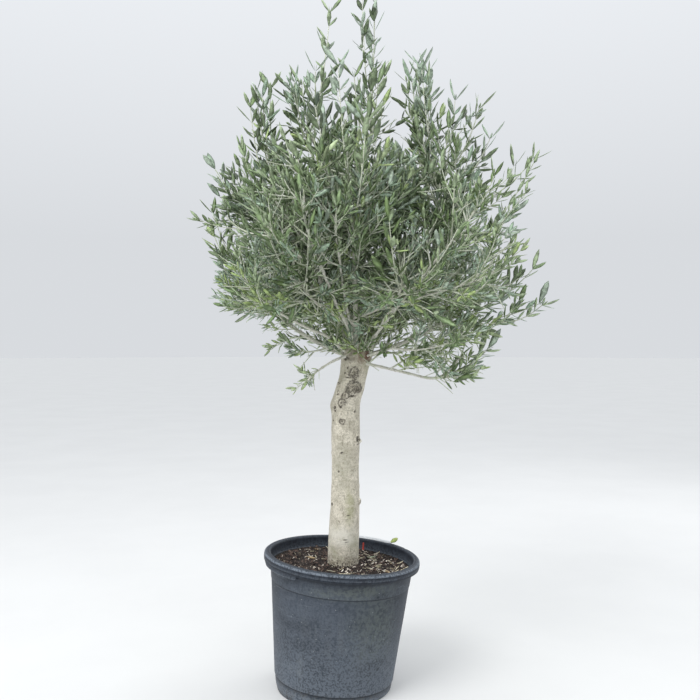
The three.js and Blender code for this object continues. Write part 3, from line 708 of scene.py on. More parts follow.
def drillStock():
    vertices, faces = [], []
    for i in range(pot["drainHoles"]):
        centre = heading(360 * (i + 0.5) / pot["drainHoles"], 0) * pot["drainCircle"]
        rings = [[centre + heading(15 * k, 0) * pot["drainRadius"] + up * z for k in range(24)]
                 for z in (-0.01, 0.012)]
        skinRings(vertices, faces, rings, centre - up * 0.01, centre + up * 0.012)
    return newPiece("drill_stock", vertices, faces, smooth=False)


potPiece = makePot()
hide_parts("pot")
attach(potPiece, "root")
print("the pot is made:", len(potPiece.data.polygons), "faces")


# The compost and what lies on it

compost = {
    "depthBelowRim": 0.041, "radius": 0.2462, "padRadius": 0.062, "padLevel": 0.4305,
    "padCentre": 0.0335, "rings": 70, "segments": 150, "lump": 0.007, "crumb": 0.0022,
    "foot": 0.0056, "footRadius": 0.196,
}


def compostMaterial():
    material, tree, shader, place = startMaterial("compostBark", (0.05, 0.034, 0.024), 0.95)
    patches, _ = mottle(tree, place, 22, 0.35, 0.65, 6.0)
    crumbs, crumbsHeight = mottle(tree, place, 160, 0.42, 0.62, 6.0)
    tone = mixColour(tree, patches, (0.006, 0.004, 0.004), (0.02, 0.014, 0.011))
    tone = tint(tree, tone, crumbs, 0.5, (0.07, 0.048, 0.036))
    tone = tint(tree, tone, specks(tree, place, 130, 0.16), 0.6, (0.3, 0.23, 0.15))
    finishMaterial(tree, shader, tone, crumbsHeight, 0.9, 0.004)
    return material


def compostHeight(x, y):
    # The surface leans with the rim, is uneven, and comes up level round the stem
    lean = math.radians(pot["lean"])
    plane = (pot["height"] - compost["depthBelowRim"] - math.sin(lean) * x) / math.cos(lean)
    lump = ripple(x * 14, y * 14, 3.1) * compost["lump"]
    crumb = ripple(x * 70, y * 70, 7.7) * compost["crumb"]
    crumb += ripple(x * 170, y * 170, 1.2) * compost["crumb"] * 0.5
    apart = math.hypot(x - compost["padCentre"], y)
    share = smoothStep(compost["padRadius"], compost["padRadius"] + 0.035, apart)
    return mix(compost["padLevel"] + crumb * 0.4, plane + lump * 0.6 + crumb, share)


def makeCompost():
    centre = potTilt @ Vector((0, 0, pot["height"] - compost["depthBelowRim"]))
    count = compost["segments"]
    rings = [[heading(360 * k / count, 0) * compost["footRadius"] + up * compost["foot"]
              for k in range(count)]]
    for i in range(compost["rings"], 0, -1):
        reach = compost["radius"] * i / compost["rings"]
        ring = []
        for k in range(count):
            flat = potTilt @ (heading(360 * k / count, 0) * reach) + centre
            ring.append(Vector((flat.x, flat.y, compostHeight(flat.x, flat.y))))
        rings.append(ring)
    vertices, faces = [], []
    skinRings(vertices, faces, rings, up * compost["foot"],
              Vector((centre.x, centre.y, compostHeight(centre.x, centre.y))))
    return newPiece("compost_fill", vertices, faces, [compostMaterial()])


def scatterTree():
    # Copies of one small shape, strewn over a surface where its attribute called open allows
    tree, start, end = startGroup("strewOnSurface", "GeometryNodeTree", [
        ("Geometry", "Geometry"), ("Shape", "Object"),
        ("Density", "Float", 1000.0), ("Smallest", "Float", 0.5),
        ("Largest", "Float", 1.2), ("Tilt", "Float", 0.4),
        ("Seed", "Int", 1), ("Material", "Material"),
    ], [("Geometry", "Geometry")])
    isOpen = addNode(tree, "GeometryNodeInputNamedAttribute", {"Name": "open"}, data_type="FLOAT")
    density = addNode(tree, "ShaderNodeMath", operation="MULTIPLY")
    points = tree.nodes.new("GeometryNodeDistributePointsOnFaces")
    shape = tree.nodes.new("GeometryNodeObjectInfo")
    negative = addNode(tree, "ShaderNodeMath", {1: -1.0}, operation="MULTIPLY")
    lowTurn = addNode(tree, "ShaderNodeCombineXYZ", {"Z": -math.pi})
    highTurn = addNode(tree, "ShaderNodeCombineXYZ", {"Z": math.pi})
    turn = addNode(tree, "FunctionNodeRandomValue", data_type="FLOAT_VECTOR")
    rotate = tree.nodes.new("FunctionNodeEulerToRotation")
    size = addNode(tree, "FunctionNodeRandomValue", data_type="FLOAT")
    copies = tree.nodes.new("GeometryNodeInstanceOnPoints")
    join(tree, (
        (isOpen, 0, density, 0), (start, "Density", density, 1), (start, "Geometry", points, "Mesh"),
        (density, 0, points, "Density"), (start, "Seed", points, "Seed"), (start, "Shape", shape, "Object"),
        (start, "Tilt", negative, 0), (negative, 0, lowTurn, "X"), (negative, 0, lowTurn, "Y"),
        (start, "Tilt", highTurn, "X"), (start, "Tilt", highTurn, "Y"), (lowTurn, 0, turn, "Min"),
        (highTurn, 0, turn, "Max"), (start, "Seed", turn, "Seed"), (turn, 0, rotate, 0),
        (start, "Smallest", size, 2), (start, "Largest", size, 3), (start, "Seed", size, "Seed"),
        (points, "Points", copies, "Points"), (shape, "Geometry", copies, "Instance"),
        (rotate, 0, copies, "Rotation"), (size, 1, copies, "Scale"),
    ))
    return finishTree(tree, start, end, copies)


def chipShape(chip):
    # A flake with uneven ends, thicker in its middle
    length, width, thickness, bend = (chip[key] for key in ("length", "width", "thickness", "bend"))
    rings = []
    for i in range(4):
        t = i / 3
        wide = width * (0.35 + 0.65 * math.sin(math.pi * (0.2 + 0.6 * t)))
        middle = Vector((length * (t - 0.5), bend * math.sin(math.pi * t), 0))
        rings.append([middle + Vector((0, wide / 2 * y, thickness / 2 * z))
                      for y, z in ((-1, -0.6), (1, -1), (0.8, 0.7), (-0.9, 1))])
    vertices, faces = [], []
    skinRings(vertices, faces, rings, rings[0][0].lerp(rings[0][2], 0.5), rings[3][0].lerp(rings[3][2], 0.5))
    return newPiece(chip["name"] + "_shape", vertices, [f[::-1] for f in faces], smooth=False)


# Density is a number per square metre; "left" is how much of it lies left of the stem
chips = [
    {"name": "compost_crumbs", "length": 0.008, "width": 0.006, "thickness": 0.004, "bend": 0.0,
     "density": 12000, "left": 1.0, "tilt": 0.9, "seed": 3, "low": (0.006, 0.004, 0.004),
     "high": (0.04, 0.027, 0.022)},
    {"name": "compost_bark_chips", "length": 0.021, "width": 0.008, "thickness": 0.003, "bend": 0.001,
     "density": 3000, "left": 1.0, "tilt": 0.7, "seed": 5, "low": (0.012, 0.008, 0.006),
     "high": (0.16, 0.105, 0.082)},
    {"name": "compost_pale_chips", "length": 0.02, "width": 0.005, "thickness": 0.002, "bend": 0.002,
     "density": 1900, "left": 0.5, "tilt": 0.6, "seed": 8, "low": (0.34, 0.28, 0.22),
     "high": (0.84, 0.77, 0.68)},
    {"name": "compost_straws", "length": 0.05, "width": 0.0022, "thickness": 0.0015, "bend": 0.007,
     "density": 1100, "left": 0.25, "tilt": 0.45, "seed": 11, "low": (0.48, 0.41, 0.26),
     "high": (0.86, 0.8, 0.62)},
]


def chipMaterial(chip):
    material, tree, shader, place = startMaterial(chip["name"] + "Fibre", chip["low"], 0.85)
    patch, _ = mottle(tree, place, 90, 0.35, 0.65, 3.0)
    _, fibreHeight = streaks(tree, place, (260, 60, 900), 0.4, 0.7)
    tone = mixColour(tree, patch, chip["low"], chip["high"])
    finishMaterial(tree, shader, tone, fibreHeight, 0.5, 0.0008)
    return material


def makeChips(surface):
    tree = scatterTree()
    made = []
    for chip in chips:
        shape = chipShape(chip)
        ground = addObject(chip["name"] + "_ground", surface.data.copy())
        isOpen = []
        for vertex in ground.data.vertices:
            x, y, z = vertex.co
            clear = math.hypot(x - compost["padCentre"], y) > compost["padRadius"] * 0.98
            inner = (potTilt.inverted() @ vertex.co).xy.length < compost["radius"] - chip["length"] * 0.55
            share = mix(chip["left"], 1.0, smoothStep(-0.04, 0.06, x))
            isOpen.append(share if clear and inner and z > 0.39 else 0.0)
        setAttribute(ground.data, "open", "FLOAT", isOpen)
        addTree(ground, "strew", tree, {"Shape": shape, "Density": float(chip["density"]),
                                        "Tilt": chip["tilt"], "Smallest": 0.45, "Largest": 1.15,
                                        "Seed": chip["seed"], "Material": chipMaterial(chip)})
        made.append(bakePiece(ground, chip["name"]))
        bpy.data.objects.remove(shape)
    return made


compostPiece = makeCompost()
chipPieces = makeChips(compostPiece)
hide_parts("compost")
for piece in [compostPiece] + chipPieces:
    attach(piece, "root")
print("the compost is made, with", sum(len(p.data.polygons) for p in chipPieces), "chip faces")


# The stem

stem = {
    # height, centre X and radius, from the compost to the head
    "stations": [
        (0.39, 0.0335, 0.055), (0.541, 0.039, 0.054), (0.636, 0.042, 0.051), (0.76, 0.044, 0.0475),
        (0.897, 0.0445, 0.0505), (0.993, 0.046, 0.0505), (1.042, 0.058, 0.0505), (1.095, 0.071, 0.0485),
        (1.16, 0.084, 0.053), (1.188, 0.09, 0.05), (1.206, 0.094, 0.036), (1.213, 0.095, 0.018),
    ],
    "ground": 0.4295, "rings": 560, "sides": 150, "evenRadius": 0.05,
    "scarReach": 2.2, "scarNoise": (190, 0.3), "lipWidth": 5, "burlFall": 2.5, "thinnest": 0.003,
    # Waves of the bark: how tight round the stem, how tight along it, and how deep
    "waves": [(16, 7, 0.0022), (60, 26, 0.0009), (90, 260, 0.0003)],
}
# Swellings on the stem: compass angle, height, spread and how far each stands proud
burls = [
    (280, 1.056, 0.034, 0.009), (300, 1.046, 0.03, 0.006), (269, 1.106, 0.024, 0.006),
    (261, 1.026, 0.02, 0.006), (252, 1.003, 0.02, 0.006), (256, 0.936, 0.02, 0.004),
    (196, 0.99, 0.034, 0.006), (325, 0.868, 0.022, 0.006), (341, 0.8635, 0.01, 0.008),
    (350, 0.65, 0.016, 0.005), (95, 1.03, 0.034, 0.007), (60, 0.78, 0.026, 0.004),
    (150, 0.9, 0.028, 0.005),
]
# Scars where twigs were cut, and cracks: compass, height, half its width, half its height, how
# far its lip stands proud, how deep its middle is, and how many cracked rings run round it
scars = [
    (280, 1.0565, 0.021, 0.02, 0.0034, 0.001, 3), (302, 1.048, 0.013, 0.011, 0.0026, 0.0022, 2),
    (286, 1.024, 0.015, 0.005, 0.001, 0.0024, 1), (269, 1.108, 0.015, 0.016, 0.0026, 0.0016, 2),
    (281, 1.09, 0.009, 0.011, 0.0022, 0.002, 2), (261, 1.026, 0.0115, 0.0125, 0.003, 0.0014, 2),
    (252, 1.003, 0.0115, 0.0125, 0.003, 0.002, 2), (250, 0.985, 0.005, 0.006, 0.0012, 0.003, 1),
    (224, 0.9826, 0.0062, 0.0064, 0.0024, 0.011, 1), (226, 0.971, 0.005, 0.0044, 0.0012, 0.003, 1),
    (219, 1.0405, 0.0042, 0.005, 0.0012, 0.0034, 1), (226, 1.0287, 0.0058, 0.0034, 0.001, 0.003, 1),
    (208, 1.0672, 0.013, 0.0045, 0.002, 0.004, 1), (255, 1.0884, 0.015, 0.003, 0.0012, 0.0022, 1),
    (243, 1.1231, 0.0036, 0.0062, 0.0012, 0.003, 1), (233, 1.103, 0.005, 0.004, 0.0012, 0.0026, 1),
    (310, 0.969, 0.004, 0.0056, 0.0012, 0.0022, 1), (256, 0.9358, 0.0095, 0.009, 0.0022, 0.0018, 2),
    (212, 0.937, 0.0045, 0.0045, 0.0012, 0.0026, 1), (321, 0.872, 0.009, 0.0125, 0.003, 0.005, 1),
    (327, 0.8545, 0.0085, 0.0026, 0.0006, 0.0016, 1),
    (256, 0.8258, 0.0062, 0.0046, 0.0012, 0.0016, 1), (228, 1.1547, 0.012, 0.008, 0.0014, 0.002, 1),
    (241, 0.7606, 0.0042, 0.0042, 0.0012, 0.0018, 1), (208, 0.6427, 0.0062, 0.0062, 0.002, 0.0016, 1),
    (350, 0.65, 0.0062, 0.007, 0.0024, 0.0012, 1), (285, 0.608, 0.0066, 0.002, 0.0008, 0.0018, 1),
    (277, 0.594, 0.008, 0.0018, 0.0008, 0.0018, 1), (275, 0.524, 0.01, 0.0016, 0.0006, 0.0016, 1),
    (281, 0.516, 0.008, 0.0014, 0.0006, 0.0014, 1),
    (120, 1.07, 0.016, 0.016, 0.0034, 0.002, 3), (75, 0.9, 0.011, 0.011, 0.0026, 0.0022, 2),
    (30, 1.1, 0.012, 0.012, 0.003, 0.003, 2), (160, 0.82, 0.008, 0.008, 0.0024, 0.002, 1),
    (20, 0.7, 0.0085, 0.0085, 0.0026, 0.002, 1), (100, 0.58, 0.007, 0.007, 0.002, 0.0015, 1),
    (150, 1.01, 0.006, 0.006, 0.002, 0.008, 1), (60, 1.0000, 0.005, 0.007, 0.0014, 0.003, 1),
]


def evenPlace(compass, height):
    # A place on the stem as if it were a plain round post, so that marks don't stretch on burls
    return heading(compass, 0) * stem["evenRadius"] + up * height


def makeKnotGroup():
    # A scar: dark broken rings round its centre and a dark edge, swayed by a noise
    tree, start, end = startGroup("knot", "ShaderNodeTree", [
        ("Place", "Vector"), ("Sway", "Float", 0.5),
        ("Centre", "Vector"), ("Stretch", "Vector", (50, 50, 50)),
        ("Rings", "Float", 2.0),
    ], [("Mask", "Float")])
    offset = combine(tree, "SUBTRACT", start.outputs["Place"], start.outputs["Centre"])
    length = combine(tree, "LENGTH", combine(tree, "MULTIPLY", offset, start.outputs["Stretch"]))
    shift = rescale(tree, start.outputs["Sway"], 0.25, 0.75, -0.46, 0.46)
    reach = calculate(tree, "ADD", length, shift, clamp=False)
    turns = calculate(tree, "MULTIPLY", reach, start.outputs["Rings"], clamp=False)
    angle = addNode(tree, "ShaderNodeMath", {1: 2 * math.pi, 2: -0.5 * math.pi}, operation="MULTIPLY_ADD")
    tree.links.new(turns, angle.inputs[0])
    crack = rescale(tree, calculate(tree, "SINE", angle.outputs[0]), -0.15, 0.85)
    inside = multiply(tree, crack, rescale(tree, reach, 0.95, 1.12, 1.0, 0.0))
    edge = multiply(tree, lineAt(tree, reach, 1.0, 0.32), 0.85)
    tree.links.new(calculate(tree, "MAXIMUM", inside, edge), end.inputs["Mask"])
    return tree


def makeBarkGroup():
    # Smooth grey bark: its colour with green film and brown cracks, and its height
    tree, start, end = startGroup("smoothBark", "ShaderNodeTree", [
        ("Place", "Vector"), ("Scale", "Float", 1.0),
        ("Pale", "Color", (0.72, 0.67, 0.56)),
        ("Grey", "Color", (0.37, 0.34, 0.26)),
        ("Film", "Color", (0.33, 0.33, 0.2)),
    ], [("Color", "Color"), ("Height", "Float")])
    scaled = addNode(tree, "ShaderNodeVectorMath", operation="SCALE")
    tree.links.new(start.outputs["Place"], scaled.inputs[0])
    tree.links.new(start.outputs["Scale"], scaled.inputs["Scale"])
    place = scaled.outputs[0]
    broad, _ = mottle(tree, place, 26, 0.44, 0.6, 5.0)
    fine, fineHeight = mottle(tree, place, 130, 0.47, 0.58, 6.0)
    grain, _ = mottle(tree, place, 360, 0.52, 0.6, 4.0)
    bands, bandsHeight = streaks(tree, place, (26, 26, 190), 0.56, 0.66)
    cracks, _ = streaks(tree, place, (210, 210, 40), 0.6, 0.66)
    green, _ = mottle(tree, place, 11, 0.5, 0.68, 7.0)
    grey = start.outputs["Grey"]
    tone = start.outputs["Pale"]
    for layer, strength, shade in (
            (broad, 0.45, grey), (fine, 0.5, grey), (green, 0.45, start.outputs["Film"]),
            (bands, 0.45, grey), (cracks, 0.55, (0.15, 0.12, 0.085)),
            (grain, 0.5, (0.16, 0.13, 0.095))):
        tone = tint(tree, tone, layer, strength, shade)
    height = calculate(tree, "ADD", multiply(tree, fineHeight, 0.5),
                       multiply(tree, bandsHeight, 0.4))
    height = calculate(tree, "SUBTRACT", height, multiply(tree, cracks, 0.3))
    tree.links.new(tone, end.inputs["Color"])
    tree.links.new(height, end.inputs["Height"])
    return tree


smoothBark = makeBarkGroup()

# Stains on the stem: compass, height, sizes round it and along it, strength and colour. A pale
# foot painted as light where the pot shades it, under a duller flank, algae on the right of the front,
# painted shadow of the crown on the head, brown wood under the head and at the knots, and film at the back.
stemStains = [
    # Painted light on the stem's foot, where the pot shades it
    (262, 0.535, 0.09, 0.055, 0.8, (0.76, 0.73, 0.64)),
    (246, 0.775, 0.05, 0.15, 0.5, (0.31, 0.3, 0.23)),
    (280, 0.77, 0.04, 0.11, 0.3, (0.31, 0.3, 0.22)),
    (292, 0.64, 0.028, 0.11, 0.6, (0.32, 0.32, 0.17)),
    # Painted shadow of the crown over the stem's head
    (255, 1.17, 0.08, 0.034, 0.55, (0.2, 0.18, 0.13)),
    (285, 1.182, 0.05, 0.014, 0.8, (0.13, 0.105, 0.075)),
    (308, 1.162, 0.055, 0.034, 1.00, (0.155, 0.088, 0.062)),
    (246, 1.156, 0.026, 0.022, 0.8, (0.1, 0.085, 0.06)),
    (222, 1.09, 0.028, 0.08, 0.45, (0.24, 0.22, 0.16)),
    (303, 1.044, 0.026, 0.02, 0.7, (0.15, 0.12, 0.085)),
    (280, 1.058, 0.026, 0.026, 0.35, (0.27, 0.24, 0.175)),
    (271, 1.104, 0.02, 0.02, 0.6, (0.2, 0.175, 0.125)),
    (256, 1.015, 0.018, 0.03, 0.45, (0.27, 0.24, 0.175)),
    (256, 0.936, 0.014, 0.012, 0.6, (0.2, 0.175, 0.125)),
    (205, 0.96, 0.026, 0.14, 0.5, (0.27, 0.25, 0.19)),
    (75, 0.95, 0.045, 0.3, 0.6, (0.27, 0.29, 0.17)),
    (150, 0.7, 0.03, 0.2, 0.45, (0.3, 0.28, 0.2)),
]


def stemBarkMaterial():
    material, tree, shader, place = startMaterial("stemBark", (0.5, 0.47, 0.39), 0.8)
    bark = placeGroup(tree, smoothBark, place, {"Scale": 1.0})
    tone = bark.outputs["Color"]
    even = readAttribute(tree, "even", "Vector")
    film, _ = mottle(tree, place, 40, 0.35, 0.6, 6.0)
    for compass, height, around, along, strength, shade in stemStains:
        near = nearPoint(tree, even, evenPlace(compass, height), (around, around, along), 0.15)
        mask = multiply(tree, near, calculate(tree, "ADD", film, 0.25))
        tone = tint(tree, tone, mask, strength, shade)
    # Soil and dark specks at the foot
    heights = tree.nodes.new("ShaderNodeSeparateXYZ")
    tree.links.new(place, heights.inputs[0])
    foot = rescale(tree, heights.outputs["Z"], 0.432, 0.474, 1.0, 0.0)
    tone = tint(tree, tone, multiply(tree, foot, film), 0.5, (0.2, 0.155, 0.11))
    crumbs, _ = mottle(tree, place, 190, 0.51, 0.56, 3.0)
    tone = tint(tree, tone, crumbs, foot, (0.035, 0.027, 0.02))
    # The small scars come with the mesh, and the rings and cracks of the large ones are drawn here
    knot = makeKnotGroup()
    _, sway = mottle(tree, place, 95, 0.3, 0.7, 3.0)
    marks = readAttribute(tree, "scar")
    for compass, height, wide, tall, _, _, circles in scars:
        if circles == 1:
            continue
        node = placeGroup(tree, knot, even, {
            "Centre": evenPlace(compass, height), "Stretch": (1 / wide, 1 / wide, 1 / tall),
            "Rings": float(circles),
        })
        tree.links.new(sway, node.inputs["Sway"])
        marks = calculate(tree, "MAXIMUM", marks, node.outputs["Mask"])
    crumbled, _ = mottle(tree, place, 150, 0.38, 0.56, 5.0)
    broken = multiply(tree, marks, calculate(tree, "ADD", crumbled, 0.26))
    tone = tint(tree, tone, broken, 0.95, (0.055, 0.046, 0.034))
    # The pale lip that curls round the lower side of the stub's scar
    lip = nearPoint(tree, even, evenPlace(337, 0.8625), (0.0125, 0.0125, 0.0055), 0.5)
    tone = tint(tree, tone, lip, 0.9, (0.8, 0.77, 0.66))
    sunken = calculate(tree, "SUBTRACT", bark.outputs["Height"], multiply(tree, broken, 0.5))
    finishMaterial(tree, shader, tone, sunken, 0.6, 0.0024,
                   rescale(tree, bark.outputs["Height"], 0.2, 0.7, 0.7, 0.9))
    return material


def stemRadius(angle, station):
    # The stem's radius at a compass angle with its burls, scars and waves, and how dark a scar is there
    radius, shade = station.y, 0.0
    for compass, height, spread, proud in burls:
        around = math.radians((angle - compass + 180) % 360 - 180) * stem["evenRadius"]
        apart = math.hypot(around, station.z - height) / spread
        radius += proud * math.exp(-stem["burlFall"] * apart * apart)
    tight, deep = stem["scarNoise"]
    for compass, height, wide, tall, lip, depth, circles in scars:
        around = math.radians((angle - compass + 180) % 360 - 180) * station.y
        apart = math.hypot(around / wide, (station.z - height) / tall)
        if apart < stem["scarReach"]:
            apart += ripple(around * tight, station.z * tight, height * 9) * deep
            radius += lip * math.exp(-stem["lipWidth"] * (apart - 1) ** 2)
            radius -= depth * (1 - smoothStep(0.1, 0.9, apart))
            if circles == 1:
                shade = max(shade, 1 - smoothStep(0.6, 1.15, apart))
    flank = evenPlace(angle, station.z)
    for around, along, deep in stem["waves"]:
        radius += ripple(flank.x * around, flank.y * around, flank.z * along) * deep
    return max(stem["thinnest"], radius), shade


def makeStem():
    stations = [Vector((x, radius, height)) for height, x, radius in stem["stations"]]
    spine = [p for p in sampleCurve(stations, stem["rings"]) if p.z >= stem["ground"]]
    rings, evens, shades = [], [], []
    for station in spine:
        ring = []
        for k in range(stem["sides"]):
            angle = 360 * k / stem["sides"]
            radius, shade = stemRadius(angle, station)
            out = heading(angle, 0)
            ring.append(Vector((station.x + out.x * radius, out.y * radius, station.z)))
            evens.append(evenPlace(angle, station.z))
            shades.append(shade)
        rings.append(ring)
    vertices, faces = [], []
    first, last = spine[0], spine[-1]
    skinRings(vertices, faces, rings, Vector((first.x, 0, first.z)), Vector((last.x, 0, last.z + 0.0015)))
    piece = newPiece("stem_bark", vertices, faces, [stemBarkMaterial()])
    setAttribute(piece.data, "even", "FLOAT_VECTOR", evens + [(0, 0, first.z), (0, 0, last.z)])
    setAttribute(piece.data, "scar", "FLOAT", shades + [0.0, 0.0])
    return piece


stemPiece = makeStem()
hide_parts("trunk")
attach(stemPiece, "root")
print("the stem is made:", len(stemPiece.data.polygons), "faces")


# Small things that lie on the pot

trifles = {
    "strip": {"from": 47, "to": 83, "inner": 0.256, "outer": 0.2735, "thickness": 0.005,
              "colours": ((0.74, 0.76, 0.79), (0.58, 0.6, 0.61))},
    "marker": {"place": (0.108, 0.206), "low": 0.405, "high": 0.45, "width": 0.0062, "thickness": 0.0016,
               "colours": ((0.52, 0.055, 0.035), (0.36, 0.05, 0.035))},
    "rimLeaf": {"compass": 48, "radius": 0.266, "length": 0.058, "width": 0.036,
                "along": (0.86, -0.1, 0.5), "faces": (0.1, -0.9, 0.35),
                "colours": ((0.6, 0.72, 0.22), (0.46, 0.56, 0.16))},
    # Fallen leaves: their shape and colours, and each one's compass and distance from the pot's
    # axis, the way it points and its length
    "green": ("leafA", ((0.26, 0.31, 0.19), (0.36, 0.4, 0.28)), [
        (262, 0.15, 20, 0.048), (205, 0.165, 75, 0.052), (40, 0.16, 310, 0.046), (282, 0.205, 350, 0.038),
    ]),
    "brown": ("leafB", ((0.28, 0.19, 0.1), (0.4, 0.3, 0.17)), [
        (304, 0.175, 140, 0.042), (345, 0.19, 200, 0.04), (110, 0.17, 15, 0.05), (150, 0.12, 250, 0.044),
    ]),
}


def plainMaterial(name, colours, roughness):
    material, tree, shader, place = startMaterial(name, colours[0], roughness)
    patch, patchHeight = mottle(tree, place, 120, 0.38, 0.62, 6.0)
    tone = mixColour(tree, patch, *colours)
    finishMaterial(tree, shader, tone, patchHeight, 0.25, 0.0006)
    return material


def makeStrip():
    # A bare pale band that lies on the rim at the back
    band = trifles["strip"]
    vertices, faces, rings = [], [], []
    middle = (band["inner"] + band["outer"]) / 2
    steps = 40
    for i in range(steps + 1):
        compass = mix(band["from"], band["to"], i / steps)
        taper = smoothStep(0, 0.12, i / steps) * (1 - smoothStep(0.85, 1, i / steps))
        half = (band["outer"] - band["inner"]) / 2 * mix(0.35, 1, taper)
        ring = []
        for side, level in ((-1, -0.003), (1, -0.003), (1, 0.0002), (0.6, 1), (-0.6, 1), (-1, 0.0002)):
            rise = level * band["thickness"] if level == 1 else level
            place = heading(compass, 0) * (middle + side * half) + up * (pot["height"] + rise)
            ring.append(potTilt @ place)
        rings.append(ring)
    skinRings(vertices, faces, rings, sum(rings[0], Vector()) / 6, sum(rings[-1], Vector()) / 6)
    material = plainMaterial("stripPlastic", band["colours"], 0.45)
    return newPiece("rim_strip", vertices, [face[::-1] for face in faces], [material])


def makeMarker():
    # A bare red tag, pointed at its foot, that stands in the compost
    tag = trifles["marker"]
    vertices, faces, rings = [], [], []
    x, y = tag["place"]
    thin = tag["thickness"] / 2
    for i in range(9):
        t = i / 8
        middle = Vector((x + 0.003 * t, y + 0.002 * t, mix(tag["low"], tag["high"], t)))
        wide = tag["width"] * (0.3 + 0.7 * smoothStep(0, 0.45, t)) * (1 - 0.35 * smoothStep(0.85, 1, t)) / 2
        rings.append([middle + Vector((wide * a, thin * b, 0))
                      for a, b in ((-1, -1), (1, -1), (1, 1), (-1, 1))])
    ends = [ring[0].lerp(ring[2], 0.5) for ring in (rings[0], rings[-1])]
    skinRings(vertices, faces, rings, *ends)
    material = plainMaterial("markerPlastic", tag["colours"], 0.5)
    return newPiece("red_marker", vertices, faces, [material], smooth=False)


stripPiece = makeStrip()
markerPiece = makeMarker()
for piece in (stripPiece, markerPiece):
    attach(piece, "root")


# Boughs: the foot as a point of the head, or as a parent and the share of its length, the compass
# angle, the rise at the foot and at the end, the length, and the radii there, as in the solids
boughs = {
    "left": ((0.074, -0.014, 1.172), 181, (63, 69), 0.39, (0.0105, 0.0065)),
    "right": ((0.099, 0.002, 1.172), 2, (66, 54), 0.47, (0.011, 0.0065)),
    "front": ((0.081, -0.026, 1.168), 268, (60, 56), 0.41, (0.0095, 0.006)),
    "back": ((0.088, 0.027, 1.172), 88, (60, 56), 0.41, (0.01, 0.006)),
    "centre": ((0.092, 0.006, 1.19), 75, (80, 86), 0.57, (0.009, 0.006)),
    "left_low": ((0.062, -0.008, 1.16), 182, (18, 40), 0.275, (0.008, 0.0055)),
    "right_low": ((0.104, -0.018, 1.158), 352, (18, 24), 0.235, (0.008, 0.0055)),
    "right_hanging": ((0.1, -0.028, 1.14), 350, (-12, -14), 0.23, (0.005, 0.004)),
    "left_hanging": ((0.06, -0.03, 1.165), 192, (-12, -48), 0.175, (0.0045, 0.003)),
    "top_left": (("left", 0.86), 30, (70, 84), 0.255, (0.0065, 0.005)),
    "front_left": (("front", 0.3), 222, (15, 25), 0.165, (0.007, 0.0055)),
    "front_right": (("front", 0.36), 316, (12, 22), 0.17, (0.007, 0.0055)),
    "back_left": (("back", 0.3), 140, (12, 22), 0.17, (0.007, 0.0055)),
    "back_right": (("back", 0.36), 40, (12, 22), 0.17, (0.007, 0.0055)),
}
